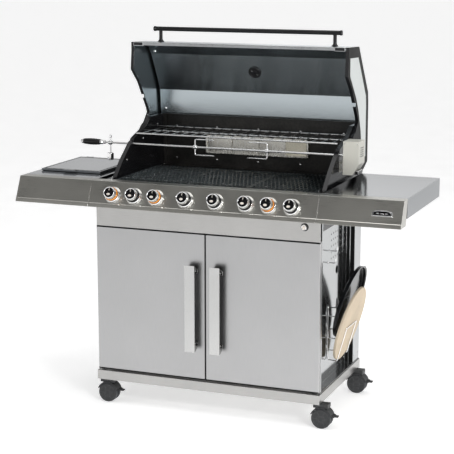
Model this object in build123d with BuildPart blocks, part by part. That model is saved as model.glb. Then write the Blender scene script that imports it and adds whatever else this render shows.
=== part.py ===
"""Gas barbecue grill on a two-door cart, with side shelves, a roll-top lid and a rotisserie.

Millimetres, +Z up, +X to the user's right, -Y towards the user.
The origin is on the floor, under the middle of the grill.
"""
from build123d import *
from math import acos, atan2, cos, degrees, radians, sin
import os

os.makedirs("parts", exist_ok=True)

# ---------------------------------------------------------------- driving dimensions
HALF_WIDTH = 848.5        # centre line to a shelf's outer end
CART_HALF = 500.0         # centre line to a cart side
FRONT = -285.0            # face of the doors and the header
BACK = 297.0              # rear of the cart
SHEET = 2.0               # sheet metal thickness

TRAY_BOTTOM, TRAY_TOP = 106.0, 146.5
DOOR_BOTTOM, DOOR_TOP = 153.5, 785.5
HEADER_TOP = 879.0        # underside of the control panel
WORKTOP = 984.0           # top of the shelves and the control panel

PANEL_TOP_Y, PANEL_BOTTOM_Y = -313.0, -361.0
BEVEL = 18.0              # height of the bright band along the panel's lower edge
PANEL_HALF = 502.5        # seam between the control panel and the shelf fascias

KNOB_X = [-395.5, -297.5, -199.5, -66.5, 66.5, 199.5, 297.5, 395.5]
BURNER_X = [-375.0, -225.0, -75.0, 75.0, 225.0, 375.0]

PIVOT_Y, PIVOT_Z = 205.0, 1098.0     # the lid's hinge line
EAR_RADIUS = 74.0
CAP_IN, CAP_OUT = 484.0, 498.0       # the lid's end caps, inner and outer faces
CASTING_IN, CASTING_OUT = 464.0, 482.0

SPIT_Y, SPIT_Z, SPIT_R = 12.0, 1099.0, 4.6

WHEEL_R, WHEEL_WIDTH, TRAIL = 42.5, 19.0, 20.0
CASTER_X = 487.0
CASTER_Y = [-252.0, 259.0]

RECESS_X = 462.0          # face of the recessed panel on the cart's right side
RECESS_Y = (-250.0, 206.0)
RECESS_TOP = 800.0
BOX_FRONT, BOX_BACK, BOX_BOTTOM = -240.0, 255.0, 815.0     # the firebox below its grids
RACK_Y = 14.0             # middle of the side rack
RACK_TILT = 15.8          # degrees that the rack's tiers lean outwards
TIER_PITCH = 95.5
WIRE_R = 2.5

FIT = 0.05                # radial clearance of a running fit


# ---------------------------------------------------------------- helpers
def block(x, y, z, mode=Mode.ADD):
    """A box from its three (low, high) pairs."""
    middle = ((x[0] + x[1]) / 2, (y[0] + y[1]) / 2, (z[0] + z[1]) / 2)
    with Locations(middle):
        Box(x[1] - x[0], y[1] - y[0], z[1] - z[0], mode=mode)


def rod(start, end, radius, mode=Mode.ADD):
    """A round bar from one point to another."""
    start, end = Vector(*start), Vector(*end)
    with BuildSketch(Plane(origin=start, z_dir=end - start)) as section:
        Circle(radius)
    extrude(section.sketch, amount=(end - start).length, mode=mode)


def wire(points, bend, radius):
    """A round wire along a path with rounded bends."""
    with BuildLine() as path:
        FilletPolyline(*points, radius=bend)
    with BuildSketch(Plane(origin=path.line @ 0, z_dir=path.line % 0)) as section:
        Circle(radius)
    sweep(section.sketch, path=path.line)


def slab(points, x_low, x_high, mode=Mode.ADD):
    """A plate between two X planes, with its outline given as (y, z) points."""
    with BuildSketch(Plane.YZ.offset(x_low)) as outline:
        with BuildLine():
            Polyline(*points, close=True)
        make_face()
    extrude(outline.sketch, amount=x_high - x_low, mode=mode)


def hollow_out(points, wall, x_low, x_high):
    """Remove a slab's inside, leaving a wall that follows its (y, z) outline."""
    with BuildSketch(Plane.YZ.offset(x_low)) as core:
        with BuildLine():
            Polyline(*points, close=True)
        make_face()
        offset(amount=-wall, kind=Kind.INTERSECTION)
    extrude(core.sketch, amount=x_high - x_low, mode=Mode.SUBTRACT)


def folded_sheet(points, x_low, x_high, side, thickness=SHEET):
    """Sheet metal folded along (y, z) points, which are its outer surface."""
    with BuildSketch(Plane.YZ.offset(x_low)) as section:
        with BuildLine():
            fold = Polyline(*points)
            offset(fold, amount=thickness, side=side, kind=Kind.INTERSECTION)
        make_face()
    extrude(section.sketch, amount=x_high - x_low)


def upright_sheet(points, z_low, z_high, side, thickness=SHEET):
    """Sheet metal folded along (x, y) points, which are its outer surface."""
    with BuildSketch(Plane.XY.offset(z_low)) as section:
        with BuildLine():
            fold = Polyline(*points)
            offset(fold, amount=thickness, side=side, kind=Kind.INTERSECTION)
        make_face()
    extrude(section.sketch, amount=z_high - z_low)


def panel_plane(x, height=0.0):
    """A plane on the sloping control panel, its normal out of the panel."""
    rise = WORKTOP - HEADER_TOP
    run = PANEL_TOP_Y - PANEL_BOTTOM_Y
    normal = Vector(0, -rise, run).normalized()
    middle = Vector(x, (PANEL_TOP_Y + PANEL_BOTTOM_Y) / 2, (WORKTOP + HEADER_TOP) / 2)
    return Plane(origin=middle + normal * height, x_dir=(1, 0, 0), z_dir=normal)


def about_pivot(radius, angle):
    """The (y, z) point at a radius and angle from the lid's hinge line."""
    return (PIVOT_Y + radius * cos(radians(angle)), PIVOT_Z + radius * sin(radians(angle)))


def finish(builder, label):
    """Label a finished piece and write it."""
    builder.part.label = label
    export_step(builder.part, f"parts/{label}.step")


# ---------------------------------------------------------------- cart
TRAY_HALF = 505.5
TRAY_Y = (-290.0, 297.0)
PRESSED_X, PRESSED_Y, PRESSED_DEPTH = (-430.0, 430.0), (-236.0, 286.0), 3.0
BLOCK = 46.0

with BuildPart() as base_tray:
    block((-TRAY_HALF, TRAY_HALF), TRAY_Y, (TRAY_BOTTOM, TRAY_TOP))
    inner_x = (-TRAY_HALF + SHEET, TRAY_HALF - SHEET)
    inner_y = (TRAY_Y[0] + SHEET, TRAY_Y[1] - SHEET)
    block(inner_x, inner_y, (TRAY_BOTTOM, TRAY_TOP - SHEET), Mode.SUBTRACT)
    floor_z = TRAY_TOP - PRESSED_DEPTH
    step_x = (PRESSED_X[0] - SHEET, PRESSED_X[1] + SHEET)
    step_y = (PRESSED_Y[0] - SHEET, PRESSED_Y[1] + SHEET)
    block(step_x, step_y, (floor_z - SHEET, TRAY_TOP - SHEET))
    block(PRESSED_X, PRESSED_Y, (floor_z, TRAY_TOP), Mode.SUBTRACT)
finish(base_tray, "base_tray")

STEM_R = 5.5
STEM_TOP = 136.0

with BuildPart() as caster_mounts:
    for side in (-1, 1):
        for y in CASTER_Y:
            outer = side * (TRAY_HALF - SHEET)
            inner = side * (TRAY_HALF - SHEET - BLOCK)
            front_reach = (TRAY_Y[0] + SHEET, y + BLOCK / 2)
            rear_reach = (y - BLOCK / 2, TRAY_Y[1] - SHEET)
            reach = front_reach if y < 0 else rear_reach
            block((min(inner, outer), max(inner, outer)), reach, (TRAY_BOTTOM, TRAY_TOP - SHEET))
            socket_end = (side * CASTER_X, y, STEM_TOP + 1)
            rod((side * CASTER_X, y, TRAY_BOTTOM), socket_end, STEM_R + FIT, Mode.SUBTRACT)
finish(caster_mounts, "caster_mounts")

FLANGE = 22.0
POST_FRONT = -261.0

with BuildPart() as left_side_panel:
    outline = [
        (-CART_HALF + FLANGE, POST_FRONT), (-CART_HALF, POST_FRONT),
        (-CART_HALF, BACK), (-CART_HALF + FLANGE, BACK),
    ]
    upright_sheet(outline, TRAY_TOP, HEADER_TOP - SHEET, Side.RIGHT)
finish(left_side_panel, "left_side_panel")

HOLE_COLUMNS, HOLE_PITCH_Y, HOLE_PITCH_Z, HOLE_R = 7, 30.0, 26.0, 4.0

with BuildPart() as right_side_panel:
    outline = [
        (CART_HALF - FLANGE, POST_FRONT), (CART_HALF, POST_FRONT), (CART_HALF, RECESS_Y[0]),
        (RECESS_X, RECESS_Y[0]), (RECESS_X, RECESS_Y[1]), (CART_HALF, RECESS_Y[1]),
        (CART_HALF, BACK), (CART_HALF - FLANGE, BACK),
    ]
    upright_sheet(outline, TRAY_TOP, HEADER_TOP - SHEET, Side.LEFT)
    block((RECESS_X, CART_HALF), RECESS_Y, (TRAY_TOP, TRAY_TOP + SHEET))
    cut_back = (RECESS_Y[0] - SHEET, BOX_BACK + 5)
    block((RECESS_X - SHEET, CASTING_OUT + 3), cut_back, (RECESS_TOP, HEADER_TOP), Mode.SUBTRACT)
    for rows, z in ((5, 715.0), (2, 178.0)):
        with BuildSketch(Plane.YZ.offset(RECESS_X)):
            with Locations((76.0, z)):
                with GridLocations(HOLE_PITCH_Y, HOLE_PITCH_Z, HOLE_COLUMNS, rows):
                    Circle(HOLE_R)
        extrude(amount=-SHEET, mode=Mode.SUBTRACT)
    with BuildSketch(Plane.YZ.offset(RECESS_X)):
        with Locations((69.0, 598.0)):
            Circle(18)
    extrude(amount=-SHEET, mode=Mode.SUBTRACT)
finish(right_side_panel, "right_side_panel")

BACK_HALF = 458.0

with BuildPart() as back_panel:
    block((-BACK_HALF, BACK_HALF), (BACK - SHEET, BACK), (TRAY_TOP, DOOR_TOP))
    block((-360, 360), (BACK - SHEET, BACK), (250, 690), Mode.SUBTRACT)
    for side in (-1, 1):
        edge = (CART_HALF - FLANGE) * side
        block(sorted((side * BACK_HALF, edge)), (BACK - SHEET, BACK), (TRAY_TOP, TRAY_TOP + 40))
        block(sorted((side * BACK_HALF, edge)), (BACK - SHEET, BACK), (DOOR_TOP - 40, DOOR_TOP))
finish(back_panel, "back_panel")

BUTTON_X, BUTTON_Z, BUTTON_STEM = 433.0, 845.0, 5.0
HEADER_BACK = -261.0

with BuildPart() as front_frame:
    header = [
        (HEADER_BACK, DOOR_TOP + 0.5), (FRONT, DOOR_TOP + 0.5),
        (FRONT, HEADER_TOP - SHEET), (HEADER_BACK, HEADER_TOP - SHEET),
    ]
    folded_sheet(header, -CART_HALF, CART_HALF, Side.RIGHT)
    for side in (-1, 1):
        post = sorted((side * 436.0, side * 456.0))
        block(post, (HEADER_BACK, -242.0), (TRAY_TOP, HEADER_TOP - SHEET))
    block((-436, 436), (HEADER_BACK, -242.0), (TRAY_TOP, TRAY_TOP + 8))
    stem_front = (BUTTON_X, FRONT, BUTTON_Z)
    rod(stem_front, (BUTTON_X, FRONT + SHEET, BUTTON_Z), BUTTON_STEM + FIT, Mode.SUBTRACT)
finish(front_frame, "front_frame")

with BuildPart() as light_button:
    rod((BUTTON_X, FRONT - 12.0, BUTTON_Z), (BUTTON_X, FRONT - 4.0, BUTTON_Z), 11.0)
    rod((BUTTON_X, FRONT - 4.0, BUTTON_Z), (BUTTON_X, FRONT + 10.0, BUTTON_Z), BUTTON_STEM)
    rod((BUTTON_X, FRONT + 6.0, BUTTON_Z), (BUTTON_X, FRONT + 10.0, BUTTON_Z), 8.0)
finish(light_button, "light_button")

# ---------------------------------------------------------------- doors
DOOR_GAP = 0.75
DOOR_DEPTH = 20.0
DOOR_SKIN = 1.5
HINGE_X, HINGE_Y, HINGE_R = 492.0, -275.0, 3.0
PIN_LENGTH = 20.0
HANDLE_X, HANDLE_HALF, HANDLE_REACH = 56.0, 23.0, 40.0
HANDLE_Z = (281.0, 654.0)
STRAP = 3.0


def door(side):
    """One door: a pan of folded sheet with hinge blocks at its outer corners."""
    inner, outer = side * DOOR_GAP, side * CART_HALF
    x = tuple(sorted((inner, outer)))
    back = FRONT + DOOR_DEPTH
    block(x, (FRONT, back), (DOOR_BOTTOM, DOOR_TOP - 0.5))
    hollow_x = (x[0] + DOOR_SKIN, x[1] - DOOR_SKIN)
    hollow_z = (DOOR_BOTTOM + DOOR_SKIN, DOOR_TOP - 0.5 - DOOR_SKIN)
    block(hollow_x, (FRONT + DOOR_SKIN, back - DOOR_SKIN), hollow_z, Mode.SUBTRACT)
    opening_x = (x[0] + 20, x[1] - 20)
    block(opening_x, (back - DOOR_SKIN, back), (DOOR_BOTTOM + 25, DOOR_TOP - 25), Mode.SUBTRACT)
    for z in ((DOOR_BOTTOM, DOOR_BOTTOM + PIN_LENGTH), (DOOR_TOP - 0.5 - PIN_LENGTH, DOOR_TOP - 0.5)):
        corner = sorted((side * (HINGE_X - 8), outer))
        block(corner, (FRONT, back), z)
        centre = side * HINGE_X
        rod((centre, HINGE_Y, z[0]), (centre, HINGE_Y, z[1]), HINGE_R + FIT, Mode.SUBTRACT)


def door_handle(side):
    """A flat strap that stands off the door on slanted ends."""
    low, high = HANDLE_Z
    face = FRONT - HANDLE_REACH
    outline = [
        (FRONT, low + 40), (FRONT, low + 20), (face, low),
        (face, high), (FRONT, high - 20), (FRONT, high - 40),
    ]
    middle = side * HANDLE_X
    folded_sheet(outline, middle - HANDLE_HALF, middle + HANDLE_HALF, Side.RIGHT, STRAP)


with BuildPart() as left_door:
    door(-1)
finish(left_door, "left_door")

with BuildPart() as right_door:
    door(1)
finish(right_door, "right_door")

with BuildPart() as left_door_handle:
    door_handle(-1)
finish(left_door_handle, "left_door_handle")

with BuildPart() as right_door_handle:
    door_handle(1)
finish(right_door_handle, "right_door_handle")

# ---------------------------------------------------------------- control panel and knobs
FASCIA_BACK_TOP, FASCIA_BACK_BOTTOM = -263.0, -284.0
BEVEL_Y = PANEL_BOTTOM_Y + (PANEL_TOP_Y - PANEL_BOTTOM_Y) * BEVEL / (WORKTOP - HEADER_TOP)
FASCIA_FACE = [
    (PANEL_TOP_Y, WORKTOP), (BEVEL_Y, HEADER_TOP + BEVEL),
    (BEVEL_Y - 3, HEADER_TOP + BEVEL - 2), (PANEL_BOTTOM_Y, HEADER_TOP),
]
VALVE_BORE_DEPTH = 32.0

with BuildPart() as control_panel:
    folded_sheet(
        [(FASCIA_BACK_TOP, WORKTOP)] + FASCIA_FACE + [(FASCIA_BACK_BOTTOM, HEADER_TOP)],
        -PANEL_HALF, PANEL_HALF, Side.LEFT,
    )
    for x in KNOB_X:
        with BuildSketch(panel_plane(x)):
            Circle(4.0 + FIT)
        extrude(amount=-12, mode=Mode.SUBTRACT)
finish(control_panel, "control_panel")

with BuildPart() as shelf_fascias:
    outline = FASCIA_FACE + [(FASCIA_BACK_BOTTOM, HEADER_TOP), (FASCIA_BACK_TOP, WORKTOP)]
    for low, high in ((-HALF_WIDTH, -PANEL_HALF - 1), (PANEL_HALF + 1, HALF_WIDTH)):
        slab(outline, low, high)
        hollow_out(outline, SHEET, low + SHEET, high - SHEET)
finish(shelf_fascias, "shelf_fascias")

BEZEL_R, BEZEL_DEPTH, KNOB_R, KNOB_FRONT = 36.0, 14.0, 27.5, 47.0

with BuildPart() as knob_bezels:
    for x in KNOB_X:
        with BuildSketch(panel_plane(x)):
            Circle(BEZEL_R)
        extrude(amount=BEZEL_DEPTH, taper=14)
        with BuildSketch(panel_plane(x)):
            Circle(KNOB_R + 1.0)
        extrude(amount=BEZEL_DEPTH, mode=Mode.SUBTRACT)
finish(knob_bezels, "knob_bezels")

for number, x in enumerate(KNOB_X, start=1):
    with BuildPart() as knob:
        with BuildSketch(panel_plane(x, 2.0)):
            Circle(KNOB_R)
        extrude(amount=KNOB_FRONT - 12.0, taper=4)
        with BuildSketch(panel_plane(x, KNOB_FRONT - 10.0)):
            Circle(KNOB_R - 3.5)
        extrude(amount=8.0, taper=12)
        with BuildSketch(panel_plane(x, KNOB_FRONT - 2.0)):
            with Locations((0, 12)):
                RectangleRounded(4, 14, 1.5)
        extrude(amount=1.5)
        with BuildSketch(panel_plane(x, -VALVE_BORE_DEPTH + 1)):
            Circle(4.0)
        extrude(amount=VALVE_BORE_DEPTH + 1)
    finish(knob, f"knob_{number}")

PIPE_DEPTH, PIPE_R, PIPE_HALF = 70.0, 9.0, 420.0
INLET_R, INLET_LENGTH = 8.0, 20.0

with BuildPart() as gas_manifold:
    pipe = panel_plane(0, -PIPE_DEPTH).origin
    rod((-PIPE_HALF, pipe.Y, pipe.Z), (PIPE_HALF, pipe.Y, pipe.Z), PIPE_R)
    rod((PIPE_HALF, pipe.Y, pipe.Z), (PIPE_HALF + 10, pipe.Y, pipe.Z), 12.0)
    rod((PIPE_HALF + 10, pipe.Y, pipe.Z), (PIPE_HALF + 10 + INLET_LENGTH, pipe.Y, pipe.Z), INLET_R)
    for x in KNOB_X:
        with BuildSketch(panel_plane(x, -58)):
            Rectangle(24, 24)
        extrude(amount=46)
        with BuildSketch(panel_plane(x, -PIPE_DEPTH + 2)):
            Circle(6)
        extrude(amount=12)
        with BuildSketch(panel_plane(x, -VALVE_BORE_DEPTH)):
            Circle(4.0 + FIT)
        extrude(amount=22, mode=Mode.SUBTRACT)
finish(gas_manifold, "gas_manifold")

# ---------------------------------------------------------------- firebox
LEDGE, WALL_Y, WALL_TOP = 963.0, 349.0, 1198.0
BOX_HALF = 462.0
GRATE_TOP = 975.0
PAN_Z = (790.0, 812.0)
PAN_HALF = 290.0
PAN_Y = (-200.0, 250.0)
PAN_SKIN = 1.5

with BuildPart() as firebox_shell:
    profile = [
        (-261.0, LEDGE + 13), (BOX_FRONT, LEDGE + 13), (BOX_FRONT, BOX_BOTTOM), (BOX_BACK, BOX_BOTTOM),
        (BOX_BACK, LEDGE - SHEET), (WALL_Y, LEDGE - SHEET), (WALL_Y, WALL_TOP), (WALL_Y - 12, WALL_TOP),
    ]
    folded_sheet(profile, -BOX_HALF, BOX_HALF, Side.LEFT)
    block((-BOX_HALF, BOX_HALF), (BOX_FRONT + SHEET, -185), (LEDGE - SHEET, LEDGE))
    block((-BOX_HALF, BOX_HALF), (225, BOX_BACK - SHEET), (LEDGE - SHEET, LEDGE))
    block((-60, 60), (-120, 120), (BOX_BOTTOM - 1, BOX_BOTTOM + SHEET + 1), Mode.SUBTRACT)
    for x in BURNER_X:
        rod((x, BOX_FRONT - 1, 880), (x, BOX_FRONT + SHEET + 1, 880), 13.5, Mode.SUBTRACT)
    for side in (-1, 1):
        hanger = sorted((side * (PAN_HALF + 1), side * (PAN_HALF + 1 + SHEET)))
        lip = sorted((side * (PAN_HALF - 12), side * (PAN_HALF + 1 + SHEET)))
        block(hanger, PAN_Y, (PAN_Z[0] - SHEET, BOX_BOTTOM))
        block(lip, PAN_Y, (PAN_Z[0] - SHEET, PAN_Z[0]))
finish(firebox_shell, "firebox_shell")

CASTING = [
    (-240, BOX_BOTTOM), (-240, 976), (-159, 977), (-96, 1038), (-9, 1103), (29, 1124), (145, 1159),
    (208, 1198), (338, 1198), (343, 1190), (343, LEDGE - SHEET), (BOX_BACK, LEDGE - SHEET),
    (BOX_BACK, BOX_BOTTOM),
]
BRACKET_Z = (912.0, 958.0)
SHELF_IN = 501.0

with BuildPart() as firebox_ends:
    for low, high in ((-CASTING_OUT, -CASTING_IN), (CASTING_IN, CASTING_OUT)):
        slab(CASTING, low, high)
        rod((low, SPIT_Y, SPIT_Z), (high, SPIT_Y, SPIT_Z), SPIT_R + FIT, Mode.SUBTRACT)
        notch = (SPIT_Y - SPIT_R - FIT, SPIT_Y + SPIT_R + FIT)
        block((low, high), notch, (SPIT_Z, SPIT_Z + 40), Mode.SUBTRACT)
    for side in (-1, 1):
        inner, outer = side * CASTING_IN, side * BOX_HALF
        flange = tuple(sorted((inner, outer)))
        block(flange, (BOX_FRONT, BOX_BACK), (BOX_BOTTOM, 960))
        for y in (-170.0, 170.0):
            block(sorted((side * CASTING_OUT, side * SHELF_IN)), (y - 20, y + 20), BRACKET_Z)
finish(firebox_ends, "firebox_ends")

with BuildPart() as main_burners:
    for x in BURNER_X:
        rod((x, -260, 880), (x, 235, 880), 12.5)
        block((x - 20, x + 20), (-225, 235), (870, 880))
finish(main_burners, "main_burners")

with BuildPart() as sear_plates:
    for x in BURNER_X:
        ridge = [(x - 58, 905), (x, 932), (x + 58, 905), (x + 58, 903), (x, 929.5), (x - 58, 903)]
        with BuildSketch(Plane.XZ.offset(225)):
            with BuildLine():
                Polyline(*ridge, close=True)
            make_face()
        extrude(amount=-450)
finish(sear_plates, "sear_plates")

GRID_WIDTH, GRID_Y, BAR = 298.0, (-190.0, 240.0), 6.0

with BuildPart() as cooking_grids:
    for centre in (-GRID_WIDTH - 2, 0.0, GRID_WIDTH + 2):
        low, high = centre - GRID_WIDTH / 2, centre + GRID_WIDTH / 2
        for y in (GRID_Y[0], (GRID_Y[0] + GRID_Y[1]) / 2, GRID_Y[1] - BAR):
            block((low, high), (y, y + BAR), (LEDGE, LEDGE + 7))
        with Locations((centre, (GRID_Y[0] + GRID_Y[1]) / 2, GRATE_TOP - 4)):
            with GridLocations((GRID_WIDTH - BAR) / 16, 1, 17, 1):
                Box(BAR, GRID_Y[1] - GRID_Y[0], 8)
finish(cooking_grids, "cooking_grids")

RACK_FRONT, RACK_BACK, RACK_Z = 45.0, 325.0, 1141.0

with BuildPart() as warming_rack:
    for y in (RACK_FRONT, RACK_BACK):
        rod((-CASTING_IN, y, RACK_Z), (CASTING_IN, y, RACK_Z), 4.0)
    rod((-CASTING_IN, 185, RACK_Z - 3), (CASTING_IN, 185, RACK_Z - 3), 3.0)
    with Locations((0, (RACK_FRONT + RACK_BACK) / 2, RACK_Z)):
        with GridLocations(46.0, 1, 20, 1):
            Cylinder(2.0, RACK_BACK - RACK_FRONT, rotation=(90, 0, 0))
finish(warming_rack, "warming_rack")

REAR_HALF = 245.0
REAR_Y = (318.0, WALL_Y - SHEET)

with BuildPart() as rear_burner:
    block((-REAR_HALF, REAR_HALF), REAR_Y, (1028, 1112))
    block((-REAR_HALF + 8, REAR_HALF - 8), (REAR_Y[0], REAR_Y[0] + 4), (1036, 1104), Mode.SUBTRACT)
finish(rear_burner, "rear_burner")

with BuildPart() as drip_pan:
    block((-PAN_HALF, PAN_HALF), PAN_Y, PAN_Z)
    hollow_x = (-PAN_HALF + PAN_SKIN, PAN_HALF - PAN_SKIN)
    hollow_y = (PAN_Y[0] + PAN_SKIN, PAN_Y[1] - PAN_SKIN)
    block(hollow_x, hollow_y, (PAN_Z[0] + PAN_SKIN, PAN_Z[1]), Mode.SUBTRACT)
    block((-60, 60), (PAN_Y[1], PAN_Y[1] + 25), (PAN_Z[1] - 3, PAN_Z[1]))
finish(drip_pan, "drip_pan")

# ---------------------------------------------------------------- shelves and side burner
SHELF_Y = (FASCIA_BACK_TOP, 281.0)
SKIRT_BOTTOM = 904.0


def shelf(x):
    """A shelf: a shallow pan of sheet metal, open below."""
    front = SHELF_Y[0]
    block(x, (front, SHELF_Y[1]), (SKIRT_BOTTOM, WORKTOP))
    hollow = (x[0] + SHEET, x[1] - SHEET)
    block(hollow, (front + SHEET, SHELF_Y[1] - SHEET), (SKIRT_BOTTOM, WORKTOP - SHEET), Mode.SUBTRACT)


WELL_X, WELL_Y = (-812.0, -560.0), (-142.0, 192.0)
LID_X, LID_Y = (-828.0, -542.0), (-160.0, 210.0)
FLAME_X, FLAME_Y = -686.0, 25.0

with BuildPart() as left_shelf:
    shelf((-HALF_WIDTH, -SHELF_IN))
    block(WELL_X, WELL_Y, (WORKTOP - SHEET, WORKTOP), Mode.SUBTRACT)
finish(left_shelf, "left_shelf")

with BuildPart() as right_shelf:
    shelf((SHELF_IN, HALF_WIDTH))
finish(right_shelf, "right_shelf")

BOWL_Z = 932.0
COVER_HINGE_X = (-790.0, -600.0)
COVER_Z = (WORKTOP + 2.0, WORKTOP + 11.0)
COVER_PIN_Y, COVER_PIN_Z, COVER_PIN_R = 214.0, 991.0, 2.5

with BuildPart() as side_burner:
    block(WELL_X, WELL_Y, (BOWL_Z, WORKTOP))
    bowl_x = (WELL_X[0] + 1.5, WELL_X[1] - 1.5)
    bowl_y = (WELL_Y[0] + 1.5, WELL_Y[1] - 1.5)
    block(bowl_x, bowl_y, (BOWL_Z + 1.5, WORKTOP), Mode.SUBTRACT)
    block((LID_X[0] + 4, LID_X[1] - 4), (LID_Y[0] + 4, LID_Y[1] - 2), (WORKTOP, WORKTOP + 1.5))
    block(bowl_x, bowl_y, (WORKTOP, WORKTOP + 1.5), Mode.SUBTRACT)
    for x in COVER_HINGE_X:
        for ear in ((x - 6, x - 0.5), (x + 20.5, x + 26)):
            block(ear, (LID_Y[1] - 6, COVER_PIN_Y + 5), (WORKTOP, WORKTOP + 1.5))
            block(ear, (LID_Y[1] + 0.5, COVER_PIN_Y + 5), (WORKTOP, COVER_PIN_Z + 5))
        rod((x - 6, COVER_PIN_Y, COVER_PIN_Z), (x + 26, COVER_PIN_Y, COVER_PIN_Z), COVER_PIN_R, Mode.SUBTRACT)
    rod((FLAME_X, FLAME_Y, BOWL_Z + 1.5), (FLAME_X, FLAME_Y, BOWL_Z + 12), 20.0)
    rod((FLAME_X, FLAME_Y, BOWL_Z + 12), (FLAME_X, FLAME_Y, BOWL_Z + 24), 46.0)
    for x in (-60.0, -20.0, 20.0, 60.0):
        block((FLAME_X + x - 3, FLAME_X + x + 3), bowl_y, (WORKTOP - 14, WORKTOP - 6))
    for y in (-70.0, 70.0):
        block(bowl_x, (FLAME_Y + y - 3, FLAME_Y + y + 3), (WORKTOP - 18, WORKTOP - 10))
finish(side_burner, "side_burner")

with BuildPart() as side_burner_lid:
    block(LID_X, LID_Y, COVER_Z)
    hollow_x = (LID_X[0] + PAN_SKIN, LID_X[1] - PAN_SKIN)
    hollow_y = (LID_Y[0] + PAN_SKIN, LID_Y[1] - PAN_SKIN)
    block(hollow_x, hollow_y, (COVER_Z[0], COVER_Z[1] - PAN_SKIN), Mode.SUBTRACT)
    block((FLAME_X - 28, FLAME_X + 28), (LID_Y[0] - 12, LID_Y[0]), (COVER_Z[0] + 3, COVER_Z[1]))
    for x in COVER_HINGE_X:
        block((x, x + 20), (LID_Y[1], COVER_PIN_Y + 4.5), (COVER_PIN_Z - 4.5, COVER_PIN_Z + 4.5))
        bore_start, bore_end = (x, COVER_PIN_Y, COVER_PIN_Z), (x + 20, COVER_PIN_Y, COVER_PIN_Z)
        rod(bore_start, bore_end, COVER_PIN_R + FIT, Mode.SUBTRACT)
finish(side_burner_lid, "side_burner_lid")

# ---------------------------------------------------------------- lid
LID_OUTER = [(78, 1540), (227, 1535), (291, 1445), (376, 1329), (382, 1279), (384, 1024), (360, 1013)]
LID_INNER = [(361, 1200), (352, 1307), (257, 1478), (216, 1521), (78, 1526)]
LINER_FOOT = (382.8, 1178)
CAP_EDGE = [(233, 1215), (220, 1240), (184, 1290), (134, 1360), (68, 1420), (78, 1500), (78, 1540)]
CAP_BACK = [(227, 1535), (291, 1445), (376, 1329), (382, 1279), (384, 1024), (280, 975)]
HANDLE_Y, HANDLE_BAR_Z, HANDLE_BAR_HALF, HANDLE_BAR_R = 185.0, 1593.0, 436.0, 10.0
POST_X = 403.0
LID_PIN_R = 6.0
GAUGE_STEM = 15.0


def gauge_plane(height):
    """A plane across the temperature gauge, its normal out through the lid."""
    high, low = LID_INNER[2], LID_INNER[1]
    middle_z = 1405.0
    share = (middle_z - low[1]) / (high[1] - low[1])
    middle = Vector(0, low[0] + share * (high[0] - low[0]), middle_z)
    normal = Vector(0, high[1] - low[1], low[0] - high[0]).normalized()
    return Plane(origin=middle + normal * height, x_dir=(1, 0, 0), z_dir=normal)


with BuildPart() as lid_skin:
    double_wall = LID_OUTER[:5] + [LINER_FOOT] + LID_INNER
    slab(double_wall, -CAP_IN, CAP_IN)
    hollow_out(double_wall, 1.5, -CAP_IN, CAP_IN)
    folded_sheet([LINER_FOOT] + LID_OUTER[5:], -CAP_IN, CAP_IN, Side.RIGHT, 1.5)
    with BuildSketch(gauge_plane(-3)):
        Circle(GAUGE_STEM)
    extrude(amount=30, mode=Mode.SUBTRACT)
finish(lid_skin, "lid_skin")


def cap_outline():
    """The end cap's (y, z) outline, which narrows into an ear about the hinge line."""
    corner = CAP_BACK[-1]
    reach = ((corner[0] - PIVOT_Y) ** 2 + (corner[1] - PIVOT_Z) ** 2) ** 0.5
    bearing = degrees(atan2(corner[1] - PIVOT_Z, corner[0] - PIVOT_Y))
    tangent = about_pivot(EAR_RADIUS, bearing - degrees(acos(EAR_RADIUS / reach)))
    return CAP_EDGE + CAP_BACK + [tangent, about_pivot(EAR_RADIUS, 101.0)]


SLOT_RADIUS, SLOT_ANGLE, SLOT_R = 193.0, 92.7, 9.0

with BuildPart() as lid_end_caps:
    slot = about_pivot(SLOT_RADIUS, SLOT_ANGLE)
    for side in (-1, 1):
        low, high = sorted((side * CAP_IN, side * CAP_OUT))
        slab(cap_outline(), low, high)
        hollow = sorted((side * CAP_IN, side * (CAP_OUT - 4)))
        hollow_out(cap_outline(), 7.0, *hollow)
        rod((low, PIVOT_Y, PIVOT_Z), (high, PIVOT_Y, PIVOT_Z), EAR_RADIUS)
        rod((low, PIVOT_Y, PIVOT_Z), (high, PIVOT_Y, PIVOT_Z), LID_PIN_R + FIT, Mode.SUBTRACT)
        rod((low, slot[0], slot[1]), (high, slot[0], slot[1]), SLOT_R, Mode.SUBTRACT)
        block((low, high), (slot[0] - 40, slot[0]), (slot[1] - SLOT_R, slot[1] + SLOT_R), Mode.SUBTRACT)
finish(lid_end_caps, "lid_end_caps")

with BuildPart() as lid_handle:
    bar_y_z = (HANDLE_Y, HANDLE_BAR_Z)
    rod((-HANDLE_BAR_HALF, *bar_y_z), (HANDLE_BAR_HALF, *bar_y_z), HANDLE_BAR_R)
    for side in (-1, 1):
        rod((side * POST_X, HANDLE_Y, 1536.8), (side * POST_X, *bar_y_z), 8.0)
        rod((side * (HANDLE_BAR_HALF - 8), *bar_y_z), (side * HANDLE_BAR_HALF, *bar_y_z), 11.5)
    block((-438, 438), (70, LID_OUTER[0][0]), (LID_INNER[-1][1], LID_OUTER[0][1]))
finish(lid_handle, "lid_handle")

with BuildPart() as temperature_gauge:
    with BuildSketch(gauge_plane(-8)):
        Circle(28.5)
    extrude(amount=8)
    with BuildSketch(gauge_plane(0)):
        Circle(GAUGE_STEM - 1)
    extrude(amount=23.5)
    with BuildSketch(gauge_plane(23.5)):
        Circle(38)
    extrude(amount=11, taper=8)
finish(temperature_gauge, "temperature_gauge")

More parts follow.
